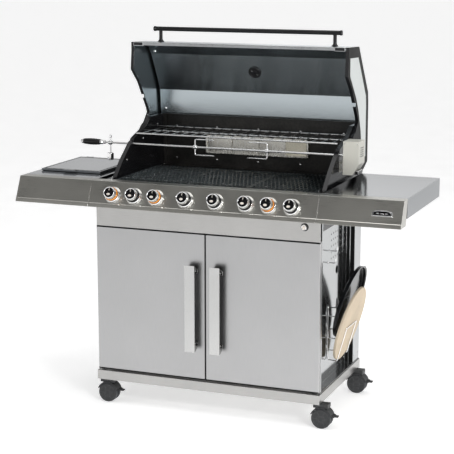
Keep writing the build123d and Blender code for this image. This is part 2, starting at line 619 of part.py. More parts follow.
with BuildPart() as hinge_pins:
    lower_pin = (TRAY_TOP, DOOR_BOTTOM + PIN_LENGTH - 3)
    upper_pin = (DOOR_TOP - PIN_LENGTH + 3, DOOR_TOP + 0.5)
    for side in (-1, 1):
        rod((side * CASTING_OUT, PIVOT_Y, PIVOT_Z), (side * (CAP_OUT + 1.5), PIVOT_Y, PIVOT_Z), LID_PIN_R)
        for low, high in (lower_pin, upper_pin):
            rod((side * HINGE_X, HINGE_Y, low), (side * HINGE_X, HINGE_Y, high), HINGE_R)
    for x in COVER_HINGE_X:
        rod((x - 6, COVER_PIN_Y, COVER_PIN_Z), (x + 26, COVER_PIN_Y, COVER_PIN_Z), COVER_PIN_R)
finish(hinge_pins, "hinge_pins")

# ---------------------------------------------------------------- rotisserie
GRIP_X = (-712.0, -600.0)
GRIP_PROFILE = [
    (-723, 0), (-722, 4), (-719, 7), (-713, 7.5), (-712, 10), (-700, 12), (-680, 14), (-650, 14.5),
    (-625, 12.5), (-612, 10), (-611, 8), (-600, 8), (-600, 0),
]
ROD_END = 520.0
WEIGHT_X = -575.0
FORK_X = (-168.0, 163.0)
TINE_LENGTH, TINE_REACH = 90.0, 34.0
MOTOR_X, MOTOR_Y, MOTOR_Z = (502.5, 572.0), (-3.0, 82.0), (1019.0, 1160.0)
CUT_X, CUT_Z = 28.0, 46.0            # the motor box's cut lower corner
BRACKET_PLATE = 3.0

with BuildPart() as spit_rod:
    rod((GRIP_X[1], SPIT_Y, SPIT_Z), (ROD_END, SPIT_Y, SPIT_Z), SPIT_R)
finish(spit_rod, "spit_rod")

with BuildPart() as spit_handle:
    with BuildSketch(Plane.XY.offset(SPIT_Z)):
        with BuildLine():
            Polyline(*[(x, SPIT_Y + radius) for x, radius in GRIP_PROFILE], close=True)
        make_face()
    revolve(axis=Axis((0, SPIT_Y, SPIT_Z), (1, 0, 0)))
finish(spit_handle, "spit_handle")

with BuildPart() as spit_counterweight:
    rod((WEIGHT_X - 7, SPIT_Y, SPIT_Z), (WEIGHT_X + 7, SPIT_Y, SPIT_Z), 10.0)
    rod((WEIGHT_X, SPIT_Y, SPIT_Z - 55), (WEIGHT_X, SPIT_Y, SPIT_Z + 38), 4.0)
    rod((WEIGHT_X, SPIT_Y, SPIT_Z - 77), (WEIGHT_X, SPIT_Y, SPIT_Z - 45), 15.0)
    rod((WEIGHT_X - 20, SPIT_Y, SPIT_Z), (WEIGHT_X + 20, SPIT_Y, SPIT_Z), SPIT_R, Mode.SUBTRACT)
finish(spit_counterweight, "spit_counterweight")

with BuildPart() as spit_forks:
    for x, way in ((FORK_X[0], 1), (FORK_X[1], -1)):
        rod((x - 8, SPIT_Y, SPIT_Z), (x + 8, SPIT_Y, SPIT_Z), 9.0)
        for turn in (-1, 1):
            tip = SPIT_Z + turn * TINE_REACH
            block((x - 2.5, x + 2.5), (SPIT_Y - 4, SPIT_Y + 4), sorted((SPIT_Z, tip + turn * 2.5)))
            rod((x, SPIT_Y, tip), (x + way * TINE_LENGTH, SPIT_Y, tip), 2.5)
        rod((x, SPIT_Y, SPIT_Z), (x, SPIT_Y + 20, SPIT_Z), 3.0)
        rod((x - 20, SPIT_Y, SPIT_Z), (x + 20, SPIT_Y, SPIT_Z), SPIT_R, Mode.SUBTRACT)
finish(spit_forks, "spit_forks")

with BuildPart() as rotisserie_motor:
    block(MOTOR_X, MOTOR_Y, MOTOR_Z)
    with BuildSketch(Plane.XZ.offset(-MOTOR_Y[0])) as cut_corner:
        with BuildLine():
            Polyline(
                (MOTOR_X[1] - CUT_X, MOTOR_Z[0]), (MOTOR_X[1], MOTOR_Z[0]),
                (MOTOR_X[1], MOTOR_Z[0] + CUT_Z), close=True,
            )
        make_face()
    extrude(cut_corner.sketch, amount=MOTOR_Y[0] - MOTOR_Y[1], mode=Mode.SUBTRACT)
    block((CASTING_OUT, CASTING_OUT + BRACKET_PLATE), (16, 74), (1026, 1072))
    for z in (1034, 1061):
        block((CASTING_OUT, MOTOR_X[0]), (24, 66), (z, z + BRACKET_PLATE))
    rod((MOTOR_X[0], SPIT_Y, SPIT_Z), (ROD_END + 2.5, SPIT_Y, SPIT_Z), SPIT_R + FIT, Mode.SUBTRACT)
finish(rotisserie_motor, "rotisserie_motor")

# ---------------------------------------------------------------- side rack and what it holds
RACK_HALF = 71.0
STONE_R, STONE_THICKNESS = 164.0, 12.0
STONE_CENTRE = (539.7, RACK_Y, 381.8)
BAKING_R, BAKING_DEPTH = 165.0, 18.0
BAKING_CENTRE = (536.7, RACK_Y, 477.8)
SPINE_X = 465.0
TIER_FOOT_Z = 231.4


def leaning(centre, height=0.0):
    """A plane across a leaning disc, its normal outwards and a little down."""
    normal = Vector(cos(radians(RACK_TILT)), 0, -sin(radians(RACK_TILT)))
    return Plane(origin=Vector(*centre) + normal * height, x_dir=(0, 1, 0), z_dir=normal)


with BuildPart() as side_rack:
    left, right = RACK_Y - RACK_HALF, RACK_Y + RACK_HALF
    for y in (left, right):
        rod((SPINE_X, y, TIER_FOOT_Z + 5), (SPINE_X, y, TIER_FOOT_Z + 2 * TIER_PITCH + 45), WIRE_R)
        for z in (TIER_FOOT_Z + 60, TIER_FOOT_Z + TIER_PITCH + 60):
            block((RECESS_X, SPINE_X), (y - 8, y + 8), (z - 8, z + 8))
    for tier in range(3):
        foot = TIER_FOOT_Z + tier * TIER_PITCH
        one_side = [(SPINE_X, foot + 38), (SPINE_X + 3, foot + 2), (506.5, foot), (547.3, foot + 144.3)]
        path = [(x, left, z) for x, z in one_side] + [(x, right, z) for x, z in reversed(one_side)]
        wire(path, 7.0, WIRE_R)
    for y, z in ((-35.0, 700.0), (-62.0, 655.0)):
        wire([(RECESS_X, y, z), (RECESS_X + 34, y, z), (RECESS_X + 34, y, z + 22)], 6.0, WIRE_R)
finish(side_rack, "side_rack")

with BuildPart() as pizza_stone:
    with BuildSketch(leaning(STONE_CENTRE, -STONE_THICKNESS / 2)):
        Circle(STONE_R)
    extrude(amount=STONE_THICKNESS)
finish(pizza_stone, "pizza_stone")

with BuildPart() as baking_pan:
    with BuildSketch(leaning(BAKING_CENTRE, BAKING_DEPTH / 2)):
        Circle(BAKING_R)
    extrude(amount=-BAKING_DEPTH, taper=12)
    with BuildSketch(leaning(BAKING_CENTRE, BAKING_DEPTH / 2)):
        Circle(BAKING_R - 9)
    extrude(amount=2 - BAKING_DEPTH, taper=12, mode=Mode.SUBTRACT)
finish(baking_pan, "baking_pan")

# ---------------------------------------------------------------- casters
CORE_HALF = 5.0
WHEEL_GAP = 0.6
AXLE_R = 4.0
HOOD_R = (44.5, 48.0)
LEVER_X, LEVER_Z, LEVER_PIN_R = 52.0, 55.0, 2.0


def caster_swivel(x, y):
    """The caster's fork: stem, core plate, hood over the wheels and the brake's ears."""
    centre = x + TRAIL
    outer = CORE_HALF + WHEEL_GAP + WHEEL_WIDTH
    rod((x, y, 94), (x, y, STEM_TOP), STEM_R)
    block((x - 14, centre + 30), (y - 20, y + 20), (88, TRAY_BOTTOM - 0.3))
    rod((centre, y - CORE_HALF, WHEEL_R), (centre, y + CORE_HALF, WHEEL_R), 36.0)
    block((x - 9, centre + 12), (y - CORE_HALF, y + CORE_HALF), (70, 90))
    hood_plane = Plane(origin=(centre, y + outer, WHEEL_R), x_dir=(1, 0, 0), z_dir=(0, -1, 0))
    with BuildSketch(hood_plane) as hood:
        with BuildLine():
            CenterArc((0, 0), HOOD_R[1], 14, 146)
            CenterArc((0, 0), HOOD_R[0], 14, 146)
            for angle in (14, 160):
                way = Vector(cos(radians(angle)), sin(radians(angle)))
                Line(way * HOOD_R[0], way * HOOD_R[1])
        make_face()
    extrude(hood.sketch, amount=2 * outer)
    block((centre - 6, centre + 6), (y - CORE_HALF, y + CORE_HALF), (70, WHEEL_R + HOOD_R[0] + 1))
    for side in (-1, 1):
        ear = sorted((y + side * 10.4, y + side * 14))
        block((centre + 43.5, centre + LEVER_X + 4), ear, (LEVER_Z - 4, LEVER_Z + 5))
    rod((centre + LEVER_X, y - 14, LEVER_Z), (centre + LEVER_X, y + 14, LEVER_Z), LEVER_PIN_R)
    rod((centre, y - CORE_HALF, WHEEL_R), (centre, y + CORE_HALF, WHEEL_R), AXLE_R + FIT, Mode.SUBTRACT)


def caster_wheels(x, y):
    """Twin wheels on their axle."""
    centre = x + TRAIL
    for side in (-1, 1):
        near = y + side * (CORE_HALF + WHEEL_GAP)
        far = near + side * WHEEL_WIDTH
        with BuildSketch(Plane(origin=(centre, near, WHEEL_R), z_dir=(0, side, 0))) as disc:
            Circle(WHEEL_R)
        extrude(disc.sketch, amount=WHEEL_WIDTH - 4)
        with BuildSketch(Plane(origin=(centre, far - side * 4, WHEEL_R), z_dir=(0, side, 0))) as crown:
            Circle(WHEEL_R)
        extrude(crown.sketch, amount=4, taper=40)
    rod((centre, y - 20, WHEEL_R), (centre, y + 20, WHEEL_R), AXLE_R)


def caster_brake(x, y):
    """The foot lever at the back of the caster."""
    pin_x = x + TRAIL + LEVER_X
    block((pin_x - 2, pin_x + 18), (y - 10, y + 10), (LEVER_Z - 3, LEVER_Z + 3))
    rod((pin_x, y - 10, LEVER_Z), (pin_x, y + 10, LEVER_Z), 3.8)
    rod((pin_x, y - 10, LEVER_Z), (pin_x, y + 10, LEVER_Z), LEVER_PIN_R + FIT, Mode.SUBTRACT)


CASTERS = {
    "front_left": (-CASTER_X, CASTER_Y[0]), "front_right": (CASTER_X, CASTER_Y[0]),
    "rear_left": (-CASTER_X, CASTER_Y[1]), "rear_right": (CASTER_X, CASTER_Y[1]),
}

for corner, (x, y) in CASTERS.items():
    with BuildPart() as swivel:
        caster_swivel(x, y)
    finish(swivel, f"caster_swivel_{corner}")
    with BuildPart() as wheels:
        caster_wheels(x, y)
    finish(wheels, f"caster_wheels_{corner}")
    with BuildPart() as brake:
        caster_brake(x, y)
    finish(brake, f"caster_brake_{corner}")
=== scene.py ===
"""Looks of the gas barbecue grill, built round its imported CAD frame. Metres, +Z up, -Y to the user."""
from math import cos, pi, radians, sin

import bmesh
import bpy
from mathutils import Matrix, Vector
from mathutils.geometry import interpolate_bezier


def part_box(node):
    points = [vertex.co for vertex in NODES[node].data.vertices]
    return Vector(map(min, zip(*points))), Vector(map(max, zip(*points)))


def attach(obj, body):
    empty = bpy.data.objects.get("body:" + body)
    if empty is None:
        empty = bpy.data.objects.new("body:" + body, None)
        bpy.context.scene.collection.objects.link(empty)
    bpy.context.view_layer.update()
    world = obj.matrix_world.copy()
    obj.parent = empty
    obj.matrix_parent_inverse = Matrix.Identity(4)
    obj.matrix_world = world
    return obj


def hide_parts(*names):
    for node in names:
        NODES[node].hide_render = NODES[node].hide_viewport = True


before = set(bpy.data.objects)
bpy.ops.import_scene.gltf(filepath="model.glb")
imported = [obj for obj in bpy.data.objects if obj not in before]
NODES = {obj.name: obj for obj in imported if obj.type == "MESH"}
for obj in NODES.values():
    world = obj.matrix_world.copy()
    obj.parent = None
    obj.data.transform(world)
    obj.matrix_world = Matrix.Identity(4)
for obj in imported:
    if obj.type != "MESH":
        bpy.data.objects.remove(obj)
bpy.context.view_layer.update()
SCENE = bpy.context.scene

# ------------------------ places taken from the frame
PANEL_LOW, PANEL_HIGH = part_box("control_panel")
PANEL_RUN, PANEL_RISE = 0.048, PANEL_HIGH.z - PANEL_LOW.z
PANEL_NORMAL = Vector((0, -PANEL_RISE, PANEL_RUN)).normalized()
PANEL_MIDDLE = Vector((0, PANEL_LOW.y + PANEL_RUN / 2, (PANEL_LOW.z + PANEL_HIGH.z) / 2))
CORNERS = ("front_left", "front_right", "rear_left", "rear_right")
LEFT, RIGHT, FRONT, BACK, UP = (-1, 0, 0), (1, 0, 0), (0, -1, 0), (0, 1, 0), (0, 0, 1)


def middle(node):
    """The middle of a node's box."""
    low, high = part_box(node)
    return (low + high) / 2


def axes(origin, z_axis, x_axis):
    """A matrix whose Z runs along z_axis and whose X lies near x_axis."""
    z = Vector(z_axis).normalized()
    y = z.cross(Vector(x_axis)).normalized()
    x = y.cross(z)
    turn = Matrix((x, y, z)).transposed().to_4x4()
    return Matrix.Translation(Vector(origin)) @ turn


# ------------------------ materials
COAT_ROUGHNESS = 0.08
GRAIN_SPAN = (0.3, 0.7)
SHEEN_SPAN = (0.35, 0.65)
EDGE_WEAR_AND_HIGHLIGHT_SPAN = (0.985, 0.93)
EDGE_BEVEL_RADIUS = 0.0012


def remap(tree, value, span, target=(0.0, 1.0)):
    """The output of a Map Range node that takes one span of a value to another."""
    made = tree.nodes.new("ShaderNodeMapRange")
    for name, level in zip(("From Min", "From Max", "To Min", "To Max"), (*span, *target)):
        made.inputs[name].default_value = level
    tree.links.new(value, made.inputs["Value"])
    return made.outputs["Result"]


def material(name, colour, other, metallic, roughness, stretch=(1, 1, 1), scale=300.0, detail=4.0, bump=0.1,
             depth=0.0004, patches=0.15, patch_scale=6.0, edge=None, coat=0.0, specular=0.5, cells=0.0,
             emission=0.0):
    """A finish with fine grain, larger patches, uneven roughness, grain bump and lighter edges, partly worn
    and partly a painted highlight.
    """
    made = bpy.data.materials.new(name)
    made.use_nodes = True
    tree = made.node_tree
    node = tree.nodes.new
    link = tree.links.new
    shader = tree.nodes["Principled BSDF"]
    shader.inputs["Metallic"].default_value = metallic
    shader.inputs["Coat Weight"].default_value = coat
    shader.inputs["Coat Roughness"].default_value = COAT_ROUGHNESS
    shader.inputs["Specular IOR Level"].default_value = specular
    place = node("ShaderNodeTexCoord").outputs["Object"]
    mapping = node("ShaderNodeMapping")
    mapping.inputs["Scale"].default_value = stretch
    link(place, mapping.inputs["Vector"])
    if cells:
        grain = node("ShaderNodeTexVoronoi")
        grain.inputs["Scale"].default_value = cells
        grain_value = grain.outputs["Distance"]
    else:
        grain = node("ShaderNodeTexNoise")
        grain.inputs["Scale"].default_value = scale
        grain.inputs["Detail"].default_value = detail
        grain_value = grain.outputs["Fac"]
    link(mapping.outputs["Vector"], grain.inputs["Vector"])
    patch = node("ShaderNodeTexNoise")
    patch.inputs["Scale"].default_value = patch_scale
    patch.inputs["Detail"].default_value = 3.0
    link(place, patch.inputs["Vector"])

    ramp = node("ShaderNodeValToRGB")
    for stop, position, shade in zip(ramp.color_ramp.elements, GRAIN_SPAN, (colour, other)):
        stop.position = position
        stop.color = (*shade, 1)
    link(grain_value, ramp.inputs["Fac"])
    tinted = node("ShaderNodeVectorMath")
    tinted.operation = "SCALE"
    link(ramp.outputs["Color"], tinted.inputs[0])
    link(remap(tree, patch.outputs["Fac"], GRAIN_SPAN, (1 - patches, 1 + patches)), tinted.inputs["Scale"])
    colour_out = tinted.outputs["Vector"]

    blend = node("ShaderNodeMath")
    blend.operation = "ADD"
    link(grain_value, blend.inputs[0])
    link(patch.outputs["Fac"], blend.inputs[1])
    half = node("ShaderNodeMath")
    half.operation = "MULTIPLY"
    half.inputs[1].default_value = 0.5
    link(blend.outputs[0], half.inputs[0])
    link(remap(tree, half.outputs[0], SHEEN_SPAN, roughness), shader.inputs["Roughness"])

    bevel = node("ShaderNodeBevel")
    bevel.samples = 4
    bevel.inputs["Radius"].default_value = EDGE_BEVEL_RADIUS
    # The edge colour, mixed in where the bevel normal turns from the face, is partly wear and partly a
    # painted highlight along edges.
    if edge:
        facing = node("ShaderNodeVectorMath")
        facing.operation = "DOT_PRODUCT"
        link(bevel.outputs["Normal"], facing.inputs[0])
        link(node("ShaderNodeNewGeometry").outputs["Normal"], facing.inputs[1])
        worn_and_lit_edge = node("ShaderNodeMix")
        worn_and_lit_edge.data_type = "RGBA"
        link(remap(tree, facing.outputs["Value"], EDGE_WEAR_AND_HIGHLIGHT_SPAN), worn_and_lit_edge.inputs["Factor"])
        link(colour_out, worn_and_lit_edge.inputs[6])
        worn_and_lit_edge.inputs[7].default_value = (*edge, 1)
        colour_out = worn_and_lit_edge.outputs[2]
    link(colour_out, shader.inputs["Base Color"])
    if emission:
        link(colour_out, shader.inputs["Emission Color"])
        shader.inputs["Emission Strength"].default_value = emission

    relief = node("ShaderNodeBump")
    relief.inputs["Strength"].default_value = bump
    relief.inputs["Distance"].default_value = depth
    link(grain_value, relief.inputs["Height"])
    link(bevel.outputs["Normal"], relief.inputs["Normal"])
    link(relief.outputs["Normal"], shader.inputs["Normal"])
    return made


UPRIGHT, ACROSS, DEEP = (8, 8, 0.06), (0.06, 8, 8), (8, 0.06, 8)
STEEL_EDGE = (0.82, 0.82, 0.81)
METAL, NONMETAL = 1.0, 0.0

door_steel = material(
    "door_steel", (0.41, 0.41, 0.413), (0.46, 0.46, 0.463), METAL, (0.28, 0.36), UPRIGHT, bump=0.05,
    patches=0.04, patch_scale=3.0, edge=STEEL_EDGE)
handle_steel = material(
    "handle_steel", (0.5, 0.5, 0.495), (0.56, 0.56, 0.555), METAL, (0.2, 0.28), UPRIGHT, bump=0.04,
    patches=0.06, patch_scale=5.0, edge=(0.8, 0.8, 0.8))
# Brighter than the other steels: a painted reflection of the white surroundings on the end-cap panels.
cap_steel_painted_reflection = material(
    "cap_steel_painted_reflection", (0.7, 0.73, 0.72), (0.78, 0.81, 0.8), METAL, (0.28, 0.36), DEEP, bump=0.03,
    patches=0.04, edge=(0.9, 0.9, 0.9))
motor_shell = material(
    "motor_shell", (0.58, 0.57, 0.51), (0.66, 0.65, 0.59), 0.25, (0.3, 0.42), scale=500.0, bump=0.08,
    patches=0.06, edge=(0.75, 0.74, 0.7))
flat_black = material(
    "flat_black", (0.006, 0.006, 0.006), (0.011, 0.011, 0.011), NONMETAL, (0.35, 0.5), bump=0.05,
    patches=0.3, specular=0.08)
header_steel = material(
    "header_steel", (0.42, 0.415, 0.405), (0.5, 0.495, 0.485), METAL, (0.28, 0.38), ACROSS, bump=0.05,
    patches=0.05, edge=STEEL_EDGE)
side_steel = material(
    "side_steel", (0.42, 0.43, 0.44), (0.52, 0.53, 0.54), METAL, (0.22, 0.34), UPRIGHT, bump=0.08,
    patches=0.08, edge=STEEL_EDGE)
recess_steel = material(
    "recess_steel", (0.42, 0.43, 0.435), (0.48, 0.49, 0.495), 0.95, (0.07, 0.13), UPRIGHT, bump=0.01,
    patches=0.05, patch_scale=3.0, edge=(0.78, 0.78, 0.78))
panel_steel = material(
    "panel_steel", (0.5, 0.49, 0.45), (0.58, 0.57, 0.53), METAL, (0.26, 0.34), ACROSS, bump=0.04,
    patches=0.04, edge=(0.82, 0.81, 0.78))
shelf_steel = material(
    "shelf_steel", (0.2, 0.212, 0.225), (0.23, 0.242, 0.255), METAL, (0.12, 0.17), DEEP, bump=0.02,
    patches=0.05, patch_scale=2.0, edge=(0.55, 0.55, 0.55))
lid_steel = material(
    "lid_steel", (0.47, 0.52, 0.545), (0.49, 0.54, 0.565), METAL, (0.23, 0.27), ACROSS, bump=0.01,
    patches=0.03, patch_scale=2.0, edge=STEEL_EDGE)
burner_steel = material(
    "burner_steel", (0.54, 0.52, 0.47), (0.68, 0.67, 0.63), METAL, (0.18, 0.32), (3, 1, 1), scale=40.0,
    bump=0.12, depth=0.001, patches=0.18, patch_scale=14.0)
chrome = material(
    "chrome", (0.88, 0.88, 0.88), (0.94, 0.94, 0.94), METAL, (0.04, 0.1), scale=900.0, bump=0.02,
    patches=0.03)
worn_chrome = material(
    "worn_chrome", (0.74, 0.74, 0.74), (0.86, 0.86, 0.85), METAL, (0.08, 0.2), scale=500.0, bump=0.04,
    patches=0.08, patch_scale=30.0)
enamel = material(
    "black_enamel", (0.006, 0.006, 0.007), (0.012, 0.012, 0.013), NONMETAL, (0.12, 0.24), scale=260.0,
    bump=0.06, depth=0.0003, patches=0.3, edge=(0.03, 0.03, 0.031), specular=0.35)
gloss_black = material(
    "gloss_black", (0.004, 0.004, 0.005), (0.008, 0.008, 0.009), NONMETAL, (0.06, 0.14), scale=500.0,
    bump=0.03, patches=0.2, specular=0.35)
box_enamel = material(
    "firebox_enamel", (0.008, 0.0075, 0.007), (0.02, 0.019, 0.017), NONMETAL, (0.3, 0.5), scale=120.0,
    bump=0.2, depth=0.0005, patches=0.5, patch_scale=9.0, specular=0.3)
iron = material(
    "cast_iron", (0.016, 0.02, 0.021), (0.04, 0.048, 0.05), NONMETAL, (0.1, 0.2), scale=700.0,
    bump=0.15, depth=0.0005, patches=0.35, patch_scale=24.0, specular=1.0)
plastic = material(
    "black_plastic", (0.006, 0.006, 0.006), (0.012, 0.012, 0.012), NONMETAL, (0.18, 0.32), scale=900.0,
    bump=0.08, patches=0.2, edge=(0.03, 0.03, 0.03), specular=0.35)
# amber_ring also gives off a little light (emission 0.25): a painted glow on the knob collars and the gauge
# pointer.
amber = material(
    "amber_ring", (0.55, 0.17, 0.015), (0.85, 0.34, 0.04), NONMETAL, (0.2, 0.35), scale=400.0, bump=0.05,
    coat=0.4, emission=0.25)
pale_mark = material(
    "pale_mark", (0.62, 0.56, 0.5), (0.8, 0.74, 0.68), NONMETAL, (0.25, 0.4), scale=600.0, bump=0.03,
    patches=0.1)
caster_plastic = material(
    "caster_plastic", (0.016, 0.017, 0.018), (0.032, 0.034, 0.036), NONMETAL, (0.38, 0.55), scale=1200.0,
    bump=0.22, depth=0.0003, patches=0.2, edge=(0.08, 0.08, 0.085))
tread = material(
    "caster_tread", (0.03, 0.033, 0.037), (0.052, 0.056, 0.062), NONMETAL, (0.42, 0.62), scale=800.0,
    bump=0.2, depth=0.0003, patches=0.25, patch_scale=40.0)
stone = material(
    "pizza_stone", (0.56, 0.46, 0.34), (0.68, 0.58, 0.45), NONMETAL, (0.75, 0.92), scale=420.0, detail=8.0,
    bump=0.35, depth=0.0005, patches=0.08, patch_scale=12.0, edge=(0.62, 0.52, 0.4), specular=0.25)
tile = material(
    "burner_tile", (0.6, 0.56, 0.45), (0.78, 0.74, 0.62), NONMETAL, (0.7, 0.9), cells=260.0, bump=0.6,
    depth=0.0012, patches=0.1, specular=0.3)
brass = material(
    "brass", (0.5, 0.36, 0.14), (0.66, 0.5, 0.24), METAL, (0.22, 0.4), scale=400.0,
    patches=0.2, edge=(0.8, 0.66, 0.36))
galvanised = material(
    "galvanised", (0.34, 0.35, 0.36), (0.5, 0.51, 0.52), METAL, (0.35, 0.55), cells=60.0, bump=0.06)
floor_paint = material(
    "floor", (0.86, 0.86, 0.86), (0.89, 0.89, 0.89), NONMETAL, (0.75, 0.85), scale=3.0, bump=0.0,
    patches=0.01, specular=0.1, emission=0.55)

NODE_FINISH = {
    door_steel: ["left_door", "right_door"],
    header_steel: ["front_frame", "base_tray", "side_burner_lid"],
    motor_shell: ["rotisserie_motor"],
    side_steel: ["left_side_panel", "spit_forks", "light_button"],
    recess_steel: ["right_side_panel"],
    panel_steel: ["control_panel", "shelf_fascias"],
    shelf_steel: ["left_shelf", "right_shelf"],
    lid_steel: ["lid_skin"],
    galvanised: ["drip_pan", "main_burners", "sear_plates", "caster_mounts"],
    worn_chrome: ["warming_rack", "spit_rod", "spit_counterweight", "side_rack", "hinge_pins"],
    enamel: ["firebox_ends", "lid_end_caps", "lid_handle", "side_burner", "baking_pan", "temperature_gauge"],
    box_enamel: ["firebox_shell", "back_panel"],
    iron: ["cooking_grids"],
    plastic: ["spit_handle"] + [f"knob_{number}" for number in range(1, 9)],
    chrome: ["knob_bezels"],
    stone: ["pizza_stone"],
    tile: ["rear_burner"],
    brass: ["gas_manifold"],
    caster_plastic: [f"caster_{part}_{corner}" for part in ("swivel", "brake") for corner in CORNERS],
    tread: [f"caster_wheels_{corner}" for corner in CORNERS],
}
for finish, names in NODE_FINISH.items():
    for name in names:
        data = NODES[name].data
        data.materials.clear()
        data.materials.append(finish)


# ------------------------ mesh building
SMOOTH_BELOW = radians(32)
HARD_ABOVE = radians(28)
FLAT_BELOW = radians(0.5)
SAME_POINT = 1e-6


def even_normals(data):
    """Corner normals weighted by face area, so flat faces stay flat and rounded edges stay soft."""
    around = [[] for _ in data.vertices]
    for face in data.polygons:
        for vert in face.vertices:
            around[vert].append(face)
    limit = cos(SMOOTH_BELOW)
    normals = []
    for face in data.polygons:
        for vert in face.vertices:
            near = [other for other in around[vert] if other.normal.dot(face.normal) > limit]
            total = sum((other.normal * other.area for other in near), face.normal * 1e-9)
            normals.append(total.normalized())
    data.normals_split_custom_set(normals)


def piece(name, mesh, finishes, body, slot, *stands_for):
    """Turn a bmesh into an object that rides on a body; smooth except over sharp edges."""
    bmesh.ops.remove_doubles(mesh, verts=mesh.verts, dist=SAME_POINT)
    bmesh.ops.recalc_face_normals(mesh, faces=mesh.faces)
    for face in mesh.faces:
        face.smooth = True
    data = bpy.data.meshes.new(name)
    mesh.to_mesh(data)
    mesh.free()
    even_normals(data)
    for finish in finishes:
        data.materials.append(finish)
    made = bpy.data.objects.new(name, data)
    SCENE.collection.objects.link(made)
    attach(made, body)
    if stands_for:
        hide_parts(*stands_for)


def circle(segments):
    """Evenly spaced (x, y) points on a circle of radius 1."""
    angles = [2 * pi * step / segments for step in range(segments)]
    return [(cos(angle), sin(angle)) for angle in angles]


def lathe(mesh, profile, place, segments=48, finish=0):
    """Turn a (radius, height) profile about the Z axis of a matrix."""
    rings = []
    for radius, height in profile:
        spots = circle(segments) if radius > SAME_POINT else [(0, 0)]
        rings.append([mesh.verts.new(place @ Vector((radius * x, radius * y, height))) for x, y in spots])
    for low, high in zip(rings, rings[1:]):
        for step in range(segments):
            after = (step + 1) % segments
            ends = ((low, step), (low, after), (high, after), (high, step))
            corners = list(dict.fromkeys(ring[index % len(ring)] for ring, index in ends))
            if len(corners) > 2:
                mesh.faces.new(corners).material_index = finish


def skin(mesh, rings, finish=0):
    """Join rings that have as many corners each by bands of faces, and close both ends."""
    for low, high in zip(rings, rings[1:]):
        for step in range(len(low)):
            after = (step + 1) % len(low)
            mesh.faces.new((low[step], low[after], high[after], high[step])).material_index = finish
    for ring in (rings[0], rings[-1]):
        mesh.faces.new(ring).material_index = finish


def tube(mesh, points, radius, segments=10, finish=0):
    """A round bar along points, with closed ends."""
    points = [Vector(point) for point in points]
    normal = (points[1] - points[0]).normalized().orthogonal()
    rings = []
    for index, point in enumerate(points):
        before, after = points[max(index - 1, 0)], points[min(index + 1, len(points) - 1)]
        way = (after - before).normalized()
        normal = (normal - way * normal.dot(way)).normalized()
        other = way.cross(normal)
        spots = [point + (normal * x + other * y) * radius for x, y in circle(segments)]
        rings.append([mesh.verts.new(spot) for spot in spots])
    skin(mesh, rings, finish)


def rounded(points, radius, steps=5):
    """A path with its corners rounded."""
    most, pull = 0.45, 0.6
    points = [Vector(point) for point in points]
    path = [points[0]]
    for before, corner, after in zip(points, points[1:], points[2:]):
        back, on = (before - corner), (after - corner)
        cut = min(radius, back.length * most, on.length * most)
        start, end = corner + back.normalized() * cut, corner + on.normalized() * cut
        path += interpolate_bezier(start, start.lerp(corner, pull), end.lerp(corner, pull), end, steps)
    path.append(points[-1])
    return path


def bar(mesh, low, high, round_edge=0.0, finish=0, turn=None):
    """A box between two corners with rounded edges."""
    low, high = Vector(low), Vector(high)
    place = Matrix.Translation((low + high) / 2) @ Matrix.Diagonal((*(high - low), 1))
    if turn is not None:
        place = turn @ place
    verts = bmesh.ops.create_cube(mesh, size=1.0, matrix=place)["verts"]
    for face in {face for vert in verts for face in vert.link_faces}:
        face.material_index = finish
    if round_edge:
        edges = list({side for vert in verts for side in vert.link_edges})
        bmesh.ops.bevel(mesh, geom=edges, offset=round_edge, segments=2, profile=0.6, affect="EDGES")


def outline_plate(mesh, outline, place, thickness, round_edge=0.0, finish=0):
    """A plate with an (x, y) outline in a matrix, as thick as its Z, with its front edges rounded."""
    front = [mesh.verts.new(place @ Vector((x, y, thickness))) for x, y in outline]
    back = [mesh.verts.new(place @ Vector((x, y, 0))) for x, y in outline]
    faces = [mesh.faces.new(front), mesh.faces.new(back[::-1])]
    for index in range(len(outline)):
        after = (index + 1) % len(outline)
        faces.append(mesh.faces.new((back[index], back[after], front[after], front[index])))
    for face in faces:
        face.material_index = finish
    if round_edge:
        rim = list(faces[0].edges)
        bmesh.ops.bevel(mesh, geom=rim, offset=round_edge, segments=3, profile=0.5, affect="EDGES")


def screw(mesh, place, radius):
    """A pan-head screw with a raised cross in the second finish, black in every use: painted shade in the
    cross recess.
    """
    head = radius * 0.55
    profile = [(radius, 0), (radius, head * 0.4), (radius * 0.8, head * 0.85), (radius * 0.45, head),
               (0, head)]
    lathe(mesh, profile, place, 20)
    long, narrow = radius * 0.5, radius * 0.11
    for x, y in ((long, narrow), (narrow, long)):
        bar(mesh, (-x, -y, head * 0.98), (x, y, head * 1.04), 0, 1, place)


def softened(node, width, body, slot, finishes, shortest=0.008, pick=None):
    """A copy of a folded or cast CAD node with its long hard edges rounded, standing for the node.

    pick gives the number of the finish a face gets.
    """
    mesh = bmesh.new()
    mesh.from_mesh(NODES[node].data)
    bmesh.ops.remove_doubles(mesh, verts=mesh.verts, dist=2 * SAME_POINT)
    bmesh.ops.dissolve_limit(mesh, angle_limit=FLAT_BELOW, verts=mesh.verts, edges=mesh.edges)
    folds = [side for side in mesh.edges if len(side.link_faces) == 2 and side.calc_length() > shortest]
    hard = [side for side in folds if side.calc_face_angle(0) > HARD_ABOVE]
    bmesh.ops.bevel(mesh, geom=hard, offset=width, segments=2, profile=0.5, affect="EDGES",
                    clamp_overlap=True)
    mesh.normal_update()
    for face in mesh.faces:
        face.material_index = pick(face) if pick else 0
    piece(f"{node}_shape", mesh, finishes, body, slot, node)


# ------------------------ sheet metal and castings
SHEET_EDGE, PRESSED_EDGE, THIN_EDGE = 0.0008, 0.0015, 0.0007


